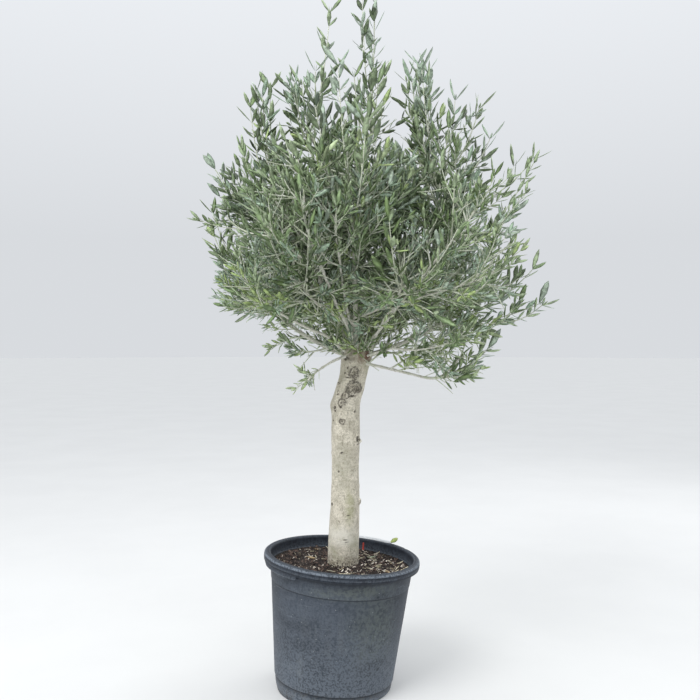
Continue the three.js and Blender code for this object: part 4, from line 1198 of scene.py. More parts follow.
# Masses of foliage: centre, radius, and leaders as the share of the stem where each leaves
# and its tip. The first leaders are those of the solids, and finer ones follow them.
massRows = {
    "left_low": ((-0.24, -0.02, 1.43), 0.205, [
        (0.3, -0.43, -0.04, 1.6), (0.15, -0.4, -0.06, 1.41), (0.2, -0.315, -0.05, 1.31),
        (0.6, -0.44, 0.01, 1.69), (0.1, -0.2, -0.09, 1.29),
    ]),
    "left_high": ((-0.225, 0.005, 1.735), 0.215, [
        (0.6, -0.275, -0.02, 2.115), (0.2, -0.44, 0.01, 1.84), (0.8, -0.226, 0.03, 2.14),
        (0.9, -0.29, -0.06, 2.05), (0.3, -0.42, -0.03, 1.73), (0.7, -0.252, -0.01, 2.1),
    ]),
    "top_left": ((-0.075, 0.0, 1.94), 0.19, [
        (0.6, -0.17, 0.0, 2.13), (0.8, -0.06, -0.03, 2.185), (0.95, -0.005, 0.0, 2.4),
        (0.7, -0.118, 0.02, 2.15), (0.5, -0.15, -0.08, 2.06),
    ]),
    "top": ((0.125, 0.01, 1.965), 0.19, [
        (0.9, 0.1, -0.01, 2.448), (0.7, 0.15, 0.02, 2.44), (0.6, 0.16, -0.06, 2.13),
        (0.5, 0.07, -0.07, 2.15),
    ]),
    "right_high": ((0.35, 0.0, 1.8), 0.225, [
        (0.7, 0.29, -0.01, 2.215), (0.8, 0.335, 0.04, 2.2), (0.9, 0.53, 0.01, 2.06),
        (0.3, 0.725, -0.03, 1.865), (0.8, 0.43, -0.04, 2.08), (0.6, 0.565, -0.04, 1.94),
        (0.5, 0.255, 0.05, 2.17), (0.2, 0.545, 0.05, 1.79), (0.75, 0.304, -0.045, 2.185),
        (0.7, 0.272, 0.02, 2.16), (0.8, 0.322, -0.02, 2.14),
    ]),
    "right_low": ((0.385, -0.03, 1.425), 0.21, [
        (0.15, 0.74, -0.07, 1.35), (0.3, 0.725, -0.02, 1.48), (0.5, 0.655, 0.02, 1.56),
        (0.1, 0.55, -0.09, 1.25), (0.6, 0.6, -0.08, 1.64), (0.2, 0.64, -0.04, 1.42),
    ]),
    "right_skirt": ((0.43, -0.08, 1.165), 0.155, [
        (0.4, 0.562, -0.07, 1.205), (0.1, 0.47, -0.12, 1.1), (0.3, 0.494, -0.06, 1.151),
    ]),
    "front_high": ((0.06, -0.235, 1.735), 0.21, [
        (0.8, 0.02, -0.3, 2.11), (0.3, 0.11, -0.5, 1.88), (0.6, 0.13, -0.33, 2.02),
        (0.5, -0.06, -0.33, 1.98),
    ]),
    "front_left": ((-0.095, -0.285, 1.415), 0.21, [
        (0.3, -0.21, -0.52, 1.6), (0.2, -0.18, -0.4, 1.3), (0.5, -0.06, -0.5, 1.56),
    ]),
    "front_right": ((0.215, -0.285, 1.41), 0.21, [
        (0.2, 0.39, -0.5, 1.56), (0.1, 0.33, -0.42, 1.29), (0.5, 0.17, -0.52, 1.58),
    ]),
    "back_high": ((0.08, 0.245, 1.74), 0.215, [
        (0.8, 0.06, 0.3, 2.12), (0.2, 0.11, 0.54, 1.85), (0.6, 0.17, 0.33, 2.04),
        (0.5, -0.04, 0.34, 1.99),
    ]),
    "back_left": ((-0.09, 0.285, 1.415), 0.21, [
        (0.3, -0.24, 0.51, 1.58), (0.2, -0.18, 0.4, 1.3),
    ]),
    "back_right": ((0.23, 0.285, 1.41), 0.21, [
        (0.3, 0.42, 0.49, 1.6), (0.1, 0.34, 0.41, 1.29),
    ]),
}
# Where a mass grows from another bough than that of its own name, how many finer rounds of shoots
# it goes without, and that it keeps only one shoot in so many
massHabits = {
    "left_high": {"bough": "left"}, "top": {"bough": "centre"}, "right_high": {"bough": "right"},
    "right_low": {"thin": 1}, "right_skirt": {"bough": "right_hanging", "thin": 2, "every": 2},
    "front_high": {"bough": "front"}, "front_left": {"thin": 1}, "front_right": {"thin": 1},
    "back_high": {"bough": "back"},
}
growth = {
    "stemReach": (0.1, 0.05), "stemKnee": 0.45, "stemEnd": 0.0022,
    "shootsPerRadius": 54.0, "goldenAngle": 137.5, "massTurn": 50, "cover": 1.72,
    "firstShoot": 0.12, "lastShoot": 0.96, "knee": (0.62, 0.22), "jitter": 0.12, "drawnIn": 0.0125,
    "boughStep": 0.02, "pathStep": 0.016, "shortest": 0.06,
    "rounds": 3,               # finer rounds of shoots between those of the solids
    "finerReach": 0.92,        # how far those reach
    "leafRoom": 0.03,         # how far shoots stop short of their reach, where their leaves end
    # The top, where sky shows through: from where on, and the shares of its shoots that are left out
    "openAbove": (1.71, 1.9), "openShare": 0.88, "openFirst": 0.45,
    "bareTwigs": 2, "bareTwigLength": (0.04, 0.11),
    "overShare": 0.03,         # how far shoots may mingle with the next mass's
    "bare": 0.32,              # the share of a shoot's foot without leaves
    "internode": (0.022, 0.031), "leafAngle": (52, 29), "budLeaf": 0.024,
    "lowLeaf": (0.031, 0.045), "highLeaf": (0.05, 0.068), "leaderLeaf": (0.056, 0.078),
    "leafChange": (1.45, 1.95),          # heights between which leaves grow from low to high sizes
    "twigEvery": 0.052, "twigLength": (0.05, 0.13), "leaderTwig": 0.5, "leaderSparse": 1.3,
    "twigAngle": 40, "twigBare": 0.25,
    "shootRadius": (0.0034, 0.0015), "twigRadius": (0.0019, 0.0011),
}
# Where the repeatable numbers of each kind of growth start, and how far apart its masses and
# rounds are
seeds = {
    "tip": 1, "tipMass": 100, "tipRound": 5000, "leader": 9000, "leaderMass": 20,
    "shoot": 20000, "shootMass": 500, "shootRound": 100, "skin": 61000,
    "arch": 5400, "limb": 400, "hanging": 77, "tuft": 880,
}
limbs = {}
masses = [{"name": name, "middle": Vector(centre), "radius": radius, "leaders": leaders,
           "bough": name, "thin": 0, "every": 1, **massHabits.get(name, {})}
          for name, (centre, radius, leaders) in massRows.items()]


def growPath(start, compass, rise, length):
    count = max(2, round(length / growth["boughStep"]))
    points = [start.copy()]
    for i in range(count):
        share = (i + 0.5) / count
        points.append(points[i] + heading(compass, mix(*rise, share)) * (length / count))
    return points


def stepOn(points, share):
    # The step of an evenly spaced path where a share of its length falls, and how far along it
    at = share * (len(points) - 1)
    step = min(len(points) - 2, int(at))
    return step, at - step


def placeOn(points, share):
    step, rest = stepOn(points, share)
    return points[step].lerp(points[step + 1], rest)


def bezier(start, knee, end, count):
    return [start.lerp(knee, t).lerp(knee.lerp(end, t), t) for t in (i / count for i in range(count + 1))]


def evenly(points, step):
    # The same path with points about one step apart
    length = runLength(points)
    return sampleCurve(points, max(2, round(length / step))), length


def ballDirection(height, compass):
    # The way to a point of a unit ball at a height
    flat = math.sqrt(max(0, 1 - height * height))
    turn = math.radians(compass)
    return Vector((flat * math.cos(turn), flat * math.sin(turn), height))


def depthInShare(mass, point):
    own = (point - mass["middle"]).length_squared - mass["radius"] ** 2
    depth = 10.0
    for other in masses:
        if other is not mass:
            apart = (other["middle"] - mass["middle"]).length
            power = (point - other["middle"]).length_squared - other["radius"] ** 2
            depth = min(depth, (power - own) / (2 * apart))
    return depth


def stemPath(mass):
    points = limbs[mass["bough"]]["points"]
    along = (points[-1] - points[-2]).normalized()
    axis = Vector((stem["stations"][-1][1], 0, mass["middle"].z))
    outwards = (mass["middle"] - axis).normalized()
    end = mass["middle"] + outwards * mass["radius"] * growth["stemReach"][0]
    end.z += mass["radius"] * growth["stemReach"][1]
    knee = points[-1] + along * (end - points[-1]).length * growth["stemKnee"]
    return sampleCurve(bezier(points[-1], knee, end, 12), 12)


def shootPath(start, tip):
    run = tip - start
    knee = start + Vector((run.x * growth["knee"][0], run.y * growth["knee"][0], run.z * growth["knee"][1]))
    points, length = evenly(bezier(start, knee, tip, 14), growth["pathStep"])
    return points if length > growth["shortest"] else []


def shootTips(mass, order, turn):
    # Tips spread over the space a golden angle apart; later rounds fall between the first ones
    count = round(mass["radius"] * growth["shootsPerRadius"])
    tips = []
    for i in range(count):
        source = startSource(order * seeds["tipMass"] + turn * seeds["tipRound"] + i + seeds["tip"])
        height = 1 - (i + 0.5 + turn / growth["rounds"] * 0.9) * growth["cover"] / count
        compass = order * growth["massTurn"] + (i + turn * 0.37) * growth["goldenAngle"]
        direction = ballDirection(height, compass)
        reach = growth["finerReach"] if turn else 1.0
        length = mass["radius"] * (reach - growth["jitter"] * next(source)) - growth["leafRoom"]
        tip = mass["middle"] + direction * length
        while depthInShare(mass, tip) < growth["drawnIn"] and (tip - mass["middle"]).length > 0.02:
            tip -= direction * 0.01
        share = mix(growth["lastShoot"], growth["firstShoot"], i / (count - 1))
        tips.append((share, tip))
    return tips


# Round areas where the photo shows sky beside the crown and no shoot ends: X, Z and radius
openSky = [(-0.41, 1.98, 0.165), (0.64, 1.385, 0.085), (0.56, 1.265, 0.06)]
# The lower front, where the wood shows: X and Z of its middle, how far it reaches, the depth that
# it ends at and the share of its shoots that are left out
openFront = {"middle": (0.04, 1.37), "reach": (0.26, 0.185), "before": -0.12, "share": 0.76}


def leftOpen(tip, source, share):
    # Shoots that end where sky shows are left out, and a share of those in the lower front and,
    # more and more upwards, of those to the top
    if any(math.hypot(tip.x - x, tip.z - z) < reach for x, z, reach in openSky):
        return True
    apart = [(value - middle) / reach for value, middle, reach
             in zip((tip.x, tip.z), openFront["middle"], openFront["reach"])]
    if tip.y < openFront["before"] and math.hypot(*apart) < 1 and next(source) < openFront["share"]:
        return True
    return next(source) < share * smoothStep(*growth["openAbove"], tip.z)


def keepInside(mass, points):
    kept = []
    for point in points:
        if depthInShare(mass, point) < -growth["overShare"]:
            break
        kept.append(point)
    return kept


def growBoughs():
    for name, (foot, compass, rise, length, radii) in boughs.items():
        start = placeOn(limbs[foot[0]]["points"], foot[1]) if len(foot) == 2 else Vector(foot)
        limbs[name] = {"points": growPath(start, compass, rise, length), "radii": radii}
    for mass in masses:
        mass["stem"] = stemPath(mass)
        limbs[mass["bough"]]["stem"] = mass["stem"]


# Thin bare limbs that fan out in front, and the same at the back: the bough and the share where
# each starts, the points it passes, its first and last radius and the share of it that is bare
bareLimbs = [
    ("front", 0.0, [
        (0.06, -0.1, 1.252), (0.021, -0.2, 1.323), (-0.01, -0.28, 1.397), (-0.037, -0.33, 1.468),
        (-0.075, -0.37, 1.572), (-0.082, -0.37, 1.673), (-0.102, -0.34, 1.778),
    ], (0.0062, 0.0024), 0.62),
    ("front", 0.0, [
        (0.044, -0.18, 1.351), (0.028, -0.3, 1.465), (0.014, -0.36, 1.558), (0.02, -0.37, 1.633),
    ], (0.0052, 0.0022), 0.6),
    ("left_low", 0.0, [
        (-0.009, -0.08, 1.225), (-0.068, -0.14, 1.252), (-0.131, -0.2, 1.284), (-0.203, -0.26, 1.331),
        (-0.255, -0.285, 1.385), (-0.28, -0.28, 1.43),
    ], (0.0056, 0.002), 0.6),
    ("front", 0.1, [
        (0.021, -0.2, 1.323), (-0.037, -0.325, 1.45), (-0.091, -0.36, 1.474), (-0.145, -0.38, 1.512),
        (-0.21, -0.36, 1.59),
    ], (0.005, 0.002), 0.62),
    ("front", 0.0, [
        (0.145, -0.1, 1.235), (0.208, -0.2, 1.317), (0.277, -0.28, 1.403), (0.344, -0.32, 1.486),
        (0.409, -0.33, 1.559), (0.463, -0.31, 1.643),
    ], (0.0058, 0.0022), 0.6),
    ("right_low", 0.1, [
        (0.177, -0.16, 1.292), (0.238, -0.24, 1.338), (0.349, -0.32, 1.372), (0.452, -0.34, 1.402),
        (0.531, -0.32, 1.444),
    ], (0.0048, 0.002), 0.5),
    ("right_low", 0.0, [
        (0.195, -0.12, 1.188), (0.275, -0.18, 1.185), (0.372, -0.2, 1.205), (0.428, -0.2, 1.245),
    ], (0.0042, 0.0018), 0.55),
]


def growBareLimbs():
    for number, (start, share, points, radii, bare) in enumerate(bareLimbs):
        for side, sign in (("front", 1), ("back", -1)):
            name = "back" if start == "front" and sign < 0 else start
            path = [placeOn(limbs[name]["points"], share)]
            path += [Vector((x, y * sign, z)) for x, y, z in points]
            limbs["bare_" + side + str(number)] = {"points": evenly(path, growth["boughStep"])[0],
                                                   "radii": radii, "bare": bare}


growBoughs()
growBareLimbs()

# The bark of the boughs: its rings and sides, the swollen foot, lumps, how the axis wanders, and
# the nodes where leaves were
boughBark = {
    "ringStep": 0.006, "sides": 16, "collar": 0.85, "collarReach": 0.016,
    "lump": 0.0006, "lumpTight": 95, "lumpReach": 0.006,
    "wander": 0.0016, "wanderTight": 22, "wanderFade": 0.05,
    "nodeEvery": 0.047, "nodeRise": 0.0011, "nodeWidth": 0.004, "nodeShift": 0.013,
}


def boughBarkMaterial():
    material, tree, shader, place = startMaterial("boughBark", (0.29, 0.28, 0.22), 0.8)
    bark = placeGroup(tree, smoothBark, place, {"Scale": 2.2, "Pale": (0.78, 0.77, 0.69),
                                                "Grey": (0.47, 0.46, 0.39),
                                                "Film": (0.5, 0.53, 0.38)})
    finishMaterial(tree, shader, bark.outputs["Color"], bark.outputs["Height"], 0.5, 0.001,
                   rescale(tree, bark.outputs["Height"], 0.2, 0.7, 0.68, 0.88))
    return material


def makeBoughs():
    vertices, faces = [], []
    bark = boughBark
    for number, limb in enumerate(limbs.values()):
        path = limb["points"] + limb.get("stem", [])[1:]
        length = runLength(path)
        wooden = runLength(limb["points"])
        points = sampleCurve(path, round(length / bark["ringStep"]))
        tip = growth["stemEnd"] if "stem" in limb else limb["radii"][1] * 0.5
        rings = []
        for i, (along, side, across) in enumerate(framesAlong(points)):
            run = length * i / (len(points) - 1)
            if run < wooden:
                radius = mix(*limb["radii"], run / wooden)
            else:
                radius = mix(limb["radii"][1], tip, (run - wooden) / max(length - wooden, 0.001))
            radius *= 1 + bark["collar"] * math.exp(-run / bark["collarReach"])
            nearNode = abs((run + number * bark["nodeShift"]) % bark["nodeEvery"] - bark["nodeEvery"] / 2)
            radius += bark["nodeRise"] * math.exp(-(nearNode / bark["nodeWidth"]) ** 2)
            fade = min(1, run / bark["wanderFade"]) * min(1, (length - run) / bark["wanderFade"] + 0.2)
            sway = [ripple(run * bark["wanderTight"], number * 3.7, layer) for layer in (0, 9)]
            shift = Vector((*sway, 0)) * bark["wander"] * fade
            ring = []
            for k in range(bark["sides"]):
                angle = 2 * math.pi * k / bark["sides"]
                spoke = side * math.cos(angle) + across * math.sin(angle)
                bump = noise.noise((points[i] + spoke * bark["lumpReach"]) * bark["lumpTight"]) * bark["lump"]
                ring.append(points[i] + shift + spoke * (radius + bump))
            rings.append(ring)
        skinRings(vertices, faces, rings, points[0], points[-1] + (points[-1] - points[-2]) * 0.4)
    return newPiece("bough_bark", vertices, faces, [boughBarkMaterial()])


boughPiece = makeBoughs()
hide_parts(*["bough_" + name for name in boughs])
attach(boughPiece, "root")
print("the boughs are made:", len(boughPiece.data.polygons), "faces")


# Shoots, twigs and leaves

crown = {"centre": Vector((0.07, 0.0, 1.64)), "reach": Vector((0.44, 0.43, 0.38)),
         "skinShoots": 120, "highest": 0.98, "lowest": -0.55, "skinReach": (0.76, 1.02), "skinFrom": 0.86}
# The leaf colours of a spray: the upper side and the underside. Deep is partly the leaves' own dark tone and
# partly painted shade inside the crown and at the top
leafTones = {
    "sage": ((0.205, 0.29, 0.136), (0.415, 0.51, 0.32)),
    "grey": ((0.285, 0.385, 0.272), (0.475, 0.57, 0.455)),
    "olive": ((0.148, 0.216, 0.083), (0.365, 0.458, 0.272)),
    "young": ((0.368, 0.474, 0.19), (0.495, 0.597, 0.35)),
    "deep": ((0.064, 0.094, 0.04), (0.215, 0.28, 0.16)),
}
# How the tones are shared out: the heights that count as low and as high, the inside of the
# crown, and the shares of the tones there, outside it, and added low down or at the top.
# The dark tones inside the crown and the dark ones added at the top are painted shade.
toneShares = {
    "low": (1.2, 1.62), "high": (1.72, 2.0), "inside": 0.66, "insideAbove": 1.25, "insideDeep": 0.44,
    "insideOlive": 0.68, "deep": 0.12, "highDeep": 0.1, "young": 0.07, "lowYoung": 0.24,
    "olive": 0.34, "highDark": 0.16, "grey": 0.72, "highGrey": 0.24,
}
# What the point of each leaf says: where it grows to, which way it faces, its length and its shape
leafFacts = {"aim": "FLOAT_VECTOR", "face": "FLOAT_VECTOR", "size": "FLOAT", "kind": "INT"}
leafPoints = {tone: {fact: [] for fact in ("place", *leafFacts)} for tone in leafTones}
twigLines = {"vertices": [], "edges": [], "radii": []}
counts = {"shoots": 0, "twigs": 0}


def addTwig(points, radii):
    first = len(twigLines["vertices"])
    for i, point in enumerate(points):
        twigLines["vertices"].append(point)
        twigLines["radii"].append(mix(*radii, i / (len(points) - 1)))
        if i:
            twigLines["edges"].append((first + i - 1, first + i))


def addLeaf(tone, *facts):
    for values, fact in zip(leafPoints[tone].values(), facts):
        values.append(fact)


def outwardShare(point):
    # 0 in the middle of the crown and 1 at its skin
    offset = point - crown["centre"]
    reach = crown["reach"]
    return math.sqrt((offset.x / reach.x) ** 2 + (offset.y / reach.y) ** 2 + (offset.z / reach.z) ** 2)


def chooseTone(point, source):
    # Dark leaves in the middle of the crown and some at the top are painted shade; grey-green at its skin,
    # yellower low down, and grey at the top
    rule = toneShares
    draw = next(source)
    low = 1 - smoothStep(*rule["low"], point.z)
    high = smoothStep(*rule["high"], point.z)
    inside = outwardShare(point) < rule["inside"] and point.z > rule["insideAbove"]
    if inside and draw < rule["insideOlive"]:
        return "deep" if draw < rule["insideDeep"] else "olive"
    if draw < rule["deep"] * (1 - low) + high * rule["highDeep"]:
        return "deep"
    draw = next(source)
    if draw < rule["young"] + low * rule["lowYoung"]:
        return "young"
    if draw < rule["olive"]:
        return "olive"
    if draw > 1 - high * rule["highDark"]:
        return "deep"
    return "grey" if draw > rule["grey"] - high * rule["highGrey"] else "sage"


def shake(source, amount):
    return Vector((next(source) - 0.5, next(source) - 0.5, next(source) - 0.5)) * amount


# How leaves sit on a shoot: how they spread and turn by chance, and the share that are kept
leafHabit = {
    "angles": (0.75, 1.25), "roll": 0.6, "kept": 0.93, "lift": 0.12, "aimShake": 0.3, "faceLift": 0.3,
    "faceShake": 0.8, "sizes": (0.74, 1.16), "spacing": 1.3, "shapes": 3, "twigSizes": (0.85, 0.9),
}


def leafAlong(points, source, tone, bare, sizes, sparse=1.0):
    # Opposite pairs, each turned a quarter from the last, that end in a tuft round the bud
    habit = leafHabit
    length = runLength(points)
    frames = framesAlong(points)
    step = mix(*growth["internode"], next(source))
    step = step * (sizes[1] / growth["highLeaf"][1]) ** habit["spacing"] * sparse
    count = max(1, int(length * (1 - bare) / step))
    roll = next(source) * math.pi
    for i in range(count + 1):
        share = bare + (1 - bare) * i / count
        place = placeOn(points, share)
        along, side, across = frames[stepOn(points, share)[0]]
        angle = math.radians(mix(*growth["leafAngle"], share) * mix(*habit["angles"], next(source)))
        angle *= 0.6 + 0.4 * sparse
        roll += math.pi / 2 + (next(source) - 0.5) * habit["roll"]
        for turn in (0, math.pi):
            if next(source) > habit["kept"]:
                continue
            spoke = side * math.cos(roll + turn) + across * math.sin(roll + turn)
            aim = along * math.cos(angle) + spoke * math.sin(angle) + up * habit["lift"]
            aim = aim + shake(source, habit["aimShake"])
            aim.normalize()
            face = along - aim * along.dot(aim) + up * habit["faceLift"] + shake(source, habit["faceShake"])
            size = mix(*sizes, share) * mix(*habit["sizes"], next(source))
            addLeaf(tone, place + spoke * 0.001, aim, face, size, int(next(source) * habit["shapes"]))
    for turn in (-1, 1):
        aim = (frames[-1][0] + frames[-1][1] * 0.25 * turn).normalized()
        addLeaf(tone, points[-1], aim, frames[-1][1] * -turn + up * 0.2, growth["budLeaf"], 2)


def leafSizes(point):
    # Small leaves low in the crown and larger ones on its upright top growth
    share = smoothStep(*growth["leafChange"], point.z)
    return tuple(mix(low, high, share) for low, high in zip(growth["lowLeaf"], growth["highLeaf"]))


# Leafless twigs near a shoot's foot, and where its leafy twigs start and how they bend upwards
twigHabit = {
    "bareUpTo": 0.5, "bareAlong": 0.8, "bareShake": 0.5, "bareBend": 0.012, "from": 0.12, "over": 0.7,
    "shift": 0.6, "turn": 40, "angles": (0.8, 1.25), "knee": 0.55, "onwards": 0.5, "lift": 0.3,
}


def growBareTwigs(points, frames, source):
    habit = twigHabit
    for _ in range(growth["bareTwigs"]):
        k = 1 + int(next(source) * (len(points) - 2) * habit["bareUpTo"])
        along, side, across = frames[k]
        roll = next(source) * 2 * math.pi
        aim = along * habit["bareAlong"] + side * math.cos(roll) + across * math.sin(roll)
        aim = aim + shake(source, habit["bareShake"])
        end = points[k] + aim.normalized() * mix(*growth["bareTwigLength"], next(source))
        knee = points[k].lerp(end, 0.5) + shake(source, habit["bareBend"])
        addTwig(bezier(points[k], knee, end, 3), growth["twigRadius"])


def growShoot(points, source, sizes=None, tone=None, twigScale=1.0, sparse=1.0):
    if len(points) < 4:
        return
    habit = twigHabit
    counts["shoots"] += 1
    sizes = sizes or leafSizes(points[-1])
    addTwig(points, growth["shootRadius"])
    leafAlong(points, source, tone or chooseTone(points[-1], source), growth["bare"], sizes, sparse)
    frames = framesAlong(points)
    growBareTwigs(points, frames, source)
    number = int(runLength(points) * 0.8 / (growth["twigEvery"] * sparse ** 2))
    for i in range(number):
        share = habit["from"] + habit["over"] * (i + next(source) * habit["shift"]) / number
        along, side, across = frames[stepOn(points, share)[0]]
        roll = math.radians(i * growth["goldenAngle"] + habit["turn"] * next(source))
        spoke = side * math.cos(roll) + across * math.sin(roll)
        angle = math.radians(growth["twigAngle"] * mix(*habit["angles"], next(source)))
        aim = along * math.cos(angle) + spoke * math.sin(angle)
        reach = mix(*growth["twigLength"], next(source)) * twigScale
        start = placeOn(points, share)
        knee = start + aim * reach * habit["knee"]
        onwards = (aim + along * habit["onwards"] + up * habit["lift"]).normalized()
        end = knee + onwards * reach * 0.5
        twig = evenly(bezier(start, knee, end, 6), growth["pathStep"])[0]
        counts["twigs"] += 1
        addTwig(twig, growth["twigRadius"])
        twigSizes = tuple(size * less for size, less in zip(sizes, leafHabit["twigSizes"]))
        leafAlong(twig, source, tone or chooseTone(twig[-1], source), growth["twigBare"], twigSizes)


def growMasses():
    for order, mass in enumerate(masses):
        for i, (share, *tip) in enumerate(mass["leaders"]):
            foot = placeOn(mass["stem"], share)
            end = Vector(tip)
            end -= (end - foot).normalized() * growth["leafRoom"]
            source = startSource(seeds["leader"] + order * seeds["leaderMass"] + i)
            growShoot(shootPath(foot, end), source, growth["leaderLeaf"],
                      twigScale=growth["leaderTwig"], sparse=growth["leaderSparse"])
        for turn in range(growth["rounds"] - mass["thin"]):
            firstSeed = seeds["shoot"] + order * seeds["shootMass"] + turn * seeds["shootRound"]
            for i, (share, tip) in enumerate(shootTips(mass, order, turn)):
                source = startSource(firstSeed + i)
                if leftOpen(tip, source, growth["openShare"] if turn else growth["openFirst"]):
                    continue
                if i % mass["every"]:
                    continue
                growShoot(keepInside(mass, shootPath(placeOn(mass["stem"], share), tip)), source)


def growSkin():
    # Shoots to the crown's own rounded skin close the valleys between the masses
    count = crown["skinShoots"]
    for i in range(count):
        source = startSource(seeds["skin"] + i)
        height = mix(crown["highest"], crown["lowest"], (i + 0.5) / count)
        out = ballDirection(height, i * growth["goldenAngle"])
        tip = crown["centre"] + out * crown["reach"] * mix(*crown["skinReach"], next(source))
        mass = max(masses, key=lambda m: depthInShare(m, tip))
        if (tip - mass["middle"]).length < mass["radius"] * crown["skinFrom"]:
            continue
        if leftOpen(tip, source, growth["openShare"]):
            continue
        if mass["thin"] and i % 2:
            continue
        wood = limbs[mass["bough"]]["points"] + mass["stem"]
        start = min(wood, key=lambda p: (tip - p).length + 2 * max(0, p.z - tip.z + 0.12))
        growShoot(shootPath(start, tip), source)


# Short leafy shoots straight from the boughs fill the crown's inside and its foot
limbShoots = {
    "every": 0.034, "from": 0.05, "to": 0.97, "length": (0.08, 0.2), "angle": 50, "turn": 40,
    "knee": 0.6, "lift": 1.3, "lowLift": -0.5,
}
# How the arching shoots and the tufts of the head differ from other shoots
archHabit = {"sizes": (0.036, 0.056), "twigScale": 0.6, "sparse": 1.5}
tuftHabit = {"centre": (0.093, 0), "radius": 0.034, "sag": 0.012, "step": 0.012, "sizes": (0.026, 0.04),
             "twigScale": 0.5}
# Tufts of young growth round the head: compass, height, length and rise
headTufts = [
    (262, 1.196, 0.085, 55), (300, 1.2, 0.07, 60), (318, 1.19, 0.11, 35), (345, 1.196, 0.08, 55),
    (20, 1.198, 0.09, 50), (60, 1.196, 0.075, 55), (110, 1.198, 0.09, 50), (150, 1.192, 0.08, 45),
    (190, 1.194, 0.085, 50), (225, 1.188, 0.1, 40), (240, 1.2, 0.06, 70),
    (250, 1.184, 0.09, 30), (274, 1.19, 0.07, 62), (288, 1.178, 0.095, 22), (308, 1.184, 0.075, 48),
    (330, 1.176, 0.07, 66), (212, 1.18, 0.075, 20), (266, 1.176, 0.06, 12),
]
# Long thin shoots that arch out low at the right: the bough and the share where each leaves it,
# and the points that it passes
arches = [
    ("right_low", 0.5, [
        (0.31, -0.05, 1.4), (0.479, -0.05, 1.54), (0.603, -0.04, 1.673), (0.7, -0.03, 1.835),
    ]),
    ("right_low", 0.35, [
        (0.266, -0.07, 1.365), (0.461, -0.09, 1.398), (0.567, -0.08, 1.469), (0.645, -0.07, 1.525),
    ]),
    ("right_low", 0.65, [
        (0.327, -0.08, 1.262), (0.496, -0.09, 1.272), (0.638, -0.085, 1.288), (0.722, -0.07, 1.338),
    ]),
    ("right_low", 0.85, [
        (0.425, -0.03, 1.45), (0.55, 0.0, 1.515), (0.64, 0.01, 1.556),
    ]),
    ("right_low", 0.95, [
        (0.4, -0.09, 1.215), (0.5, -0.09, 1.235), (0.59, -0.08, 1.29),
    ]),
    ("right_hanging", 0.95, [
        (0.373, -0.09, 1.093), (0.479, -0.09, 1.138), (0.52, -0.085, 1.212),
    ]),
    ("right_hanging", 0.45, [
        (0.33, -0.1, 1.19), (0.443, -0.1, 1.16), (0.525, -0.09, 1.18),
    ]),
]


def growArches():
    for i, (name, share, points) in enumerate(arches):
        start = placeOn(limbs[name]["points"], share)
        path = evenly([start] + [Vector(p) for p in points], growth["pathStep"])[0]
        growShoot(path, startSource(seeds["arch"] + i), tone="young" if i % 2 else "sage", **archHabit)


def growFromLimbs():
    habit = limbShoots
    for number, (name, limb) in enumerate(limbs.items()):
        source = startSource(seeds["limb"] + number)
        points = limb["points"]
        frames = framesAlong(points)
        bare = limb.get("bare", habit["from"])
        amount = int(runLength(points) * (1 - bare) / habit["every"])
        for i in range(amount):
            share = mix(bare, habit["to"], (i + 0.5 * next(source)) / amount)
            along, side, across = frames[stepOn(points, share)[0]]
            roll = math.radians(i * growth["goldenAngle"] + number * habit["turn"])
            angle = math.radians(habit["angle"])
            aim = along * math.cos(angle)
            aim += (side * math.cos(roll) + across * math.sin(roll)) * math.sin(angle)
            reach = mix(*habit["length"], next(source))
            if name.endswith("hanging") and i % 3:
                continue
            start = placeOn(points, share)
            knee = start + aim * reach * habit["knee"]
            lift = habit["lowLift"] if name.endswith("low") and i % 3 == 1 else habit["lift"]
            end = knee + (aim + up * lift).normalized() * reach * 0.5
            growShoot(evenly(bezier(start, knee, end, 8), growth["pathStep"])[0], source)
        if "bare" in limb:
            growShoot(sampleCurve(points[-5:], 6), source)
    growShoot(sampleCurve(limbs["left_hanging"]["points"][-5:], 6), startSource(seeds["hanging"]))


def growTufts():
    habit = tuftHabit
    for i, (compass, height, length, rise) in enumerate(headTufts):
        start = Vector((*habit["centre"], height)) + heading(compass, 0) * habit["radius"]
        end = start + heading(compass, rise) * length
        knee = start.lerp(end, 0.5) - up * habit["sag"]
        growShoot(evenly(bezier(start, knee, end, 6), habit["step"])[0], startSource(seeds["tuft"] + i),
                  habit["sizes"], "young" if i % 3 != 1 else "sage", habit["twigScale"])


growMasses()
growSkin()
growArches()
growFromLimbs()
growTufts()
print("grown:", counts["shoots"], "shoots,", counts["twigs"], "twigs,",
      sum(len(leaves["size"]) for leaves in leafPoints.values()), "leaves")


def twigTree():
    # Lines with a radius become closed round twigs
    tree, start, end = startGroup("twigSkin", "GeometryNodeTree", [
        ("Geometry", "Geometry"), ("Sides", "Int", 5),
        ("Material", "Material"),
    ], [("Geometry", "Geometry")])
    radius = addNode(tree, "GeometryNodeInputNamedAttribute", {"Name": "thick"}, data_type="FLOAT")
    curve = tree.nodes.new("GeometryNodeMeshToCurve")
    profile = addNode(tree, "GeometryNodeCurvePrimitiveCircle", {"Radius": 1.0})
    skin = addNode(tree, "GeometryNodeCurveToMesh", {"Fill Caps": True})
    smooth = tree.nodes.new("GeometryNodeSetShadeSmooth")
    join(tree, ((start, "Geometry", curve, "Mesh"), (start, "Sides", profile, "Resolution"),
                (curve, 0, skin, "Curve"), (profile, "Curve", skin, "Profile Curve"),
                (radius, 0, skin, "Scale"), (skin, 0, smooth, "Geometry")))
    return finishTree(tree, start, end, smooth)


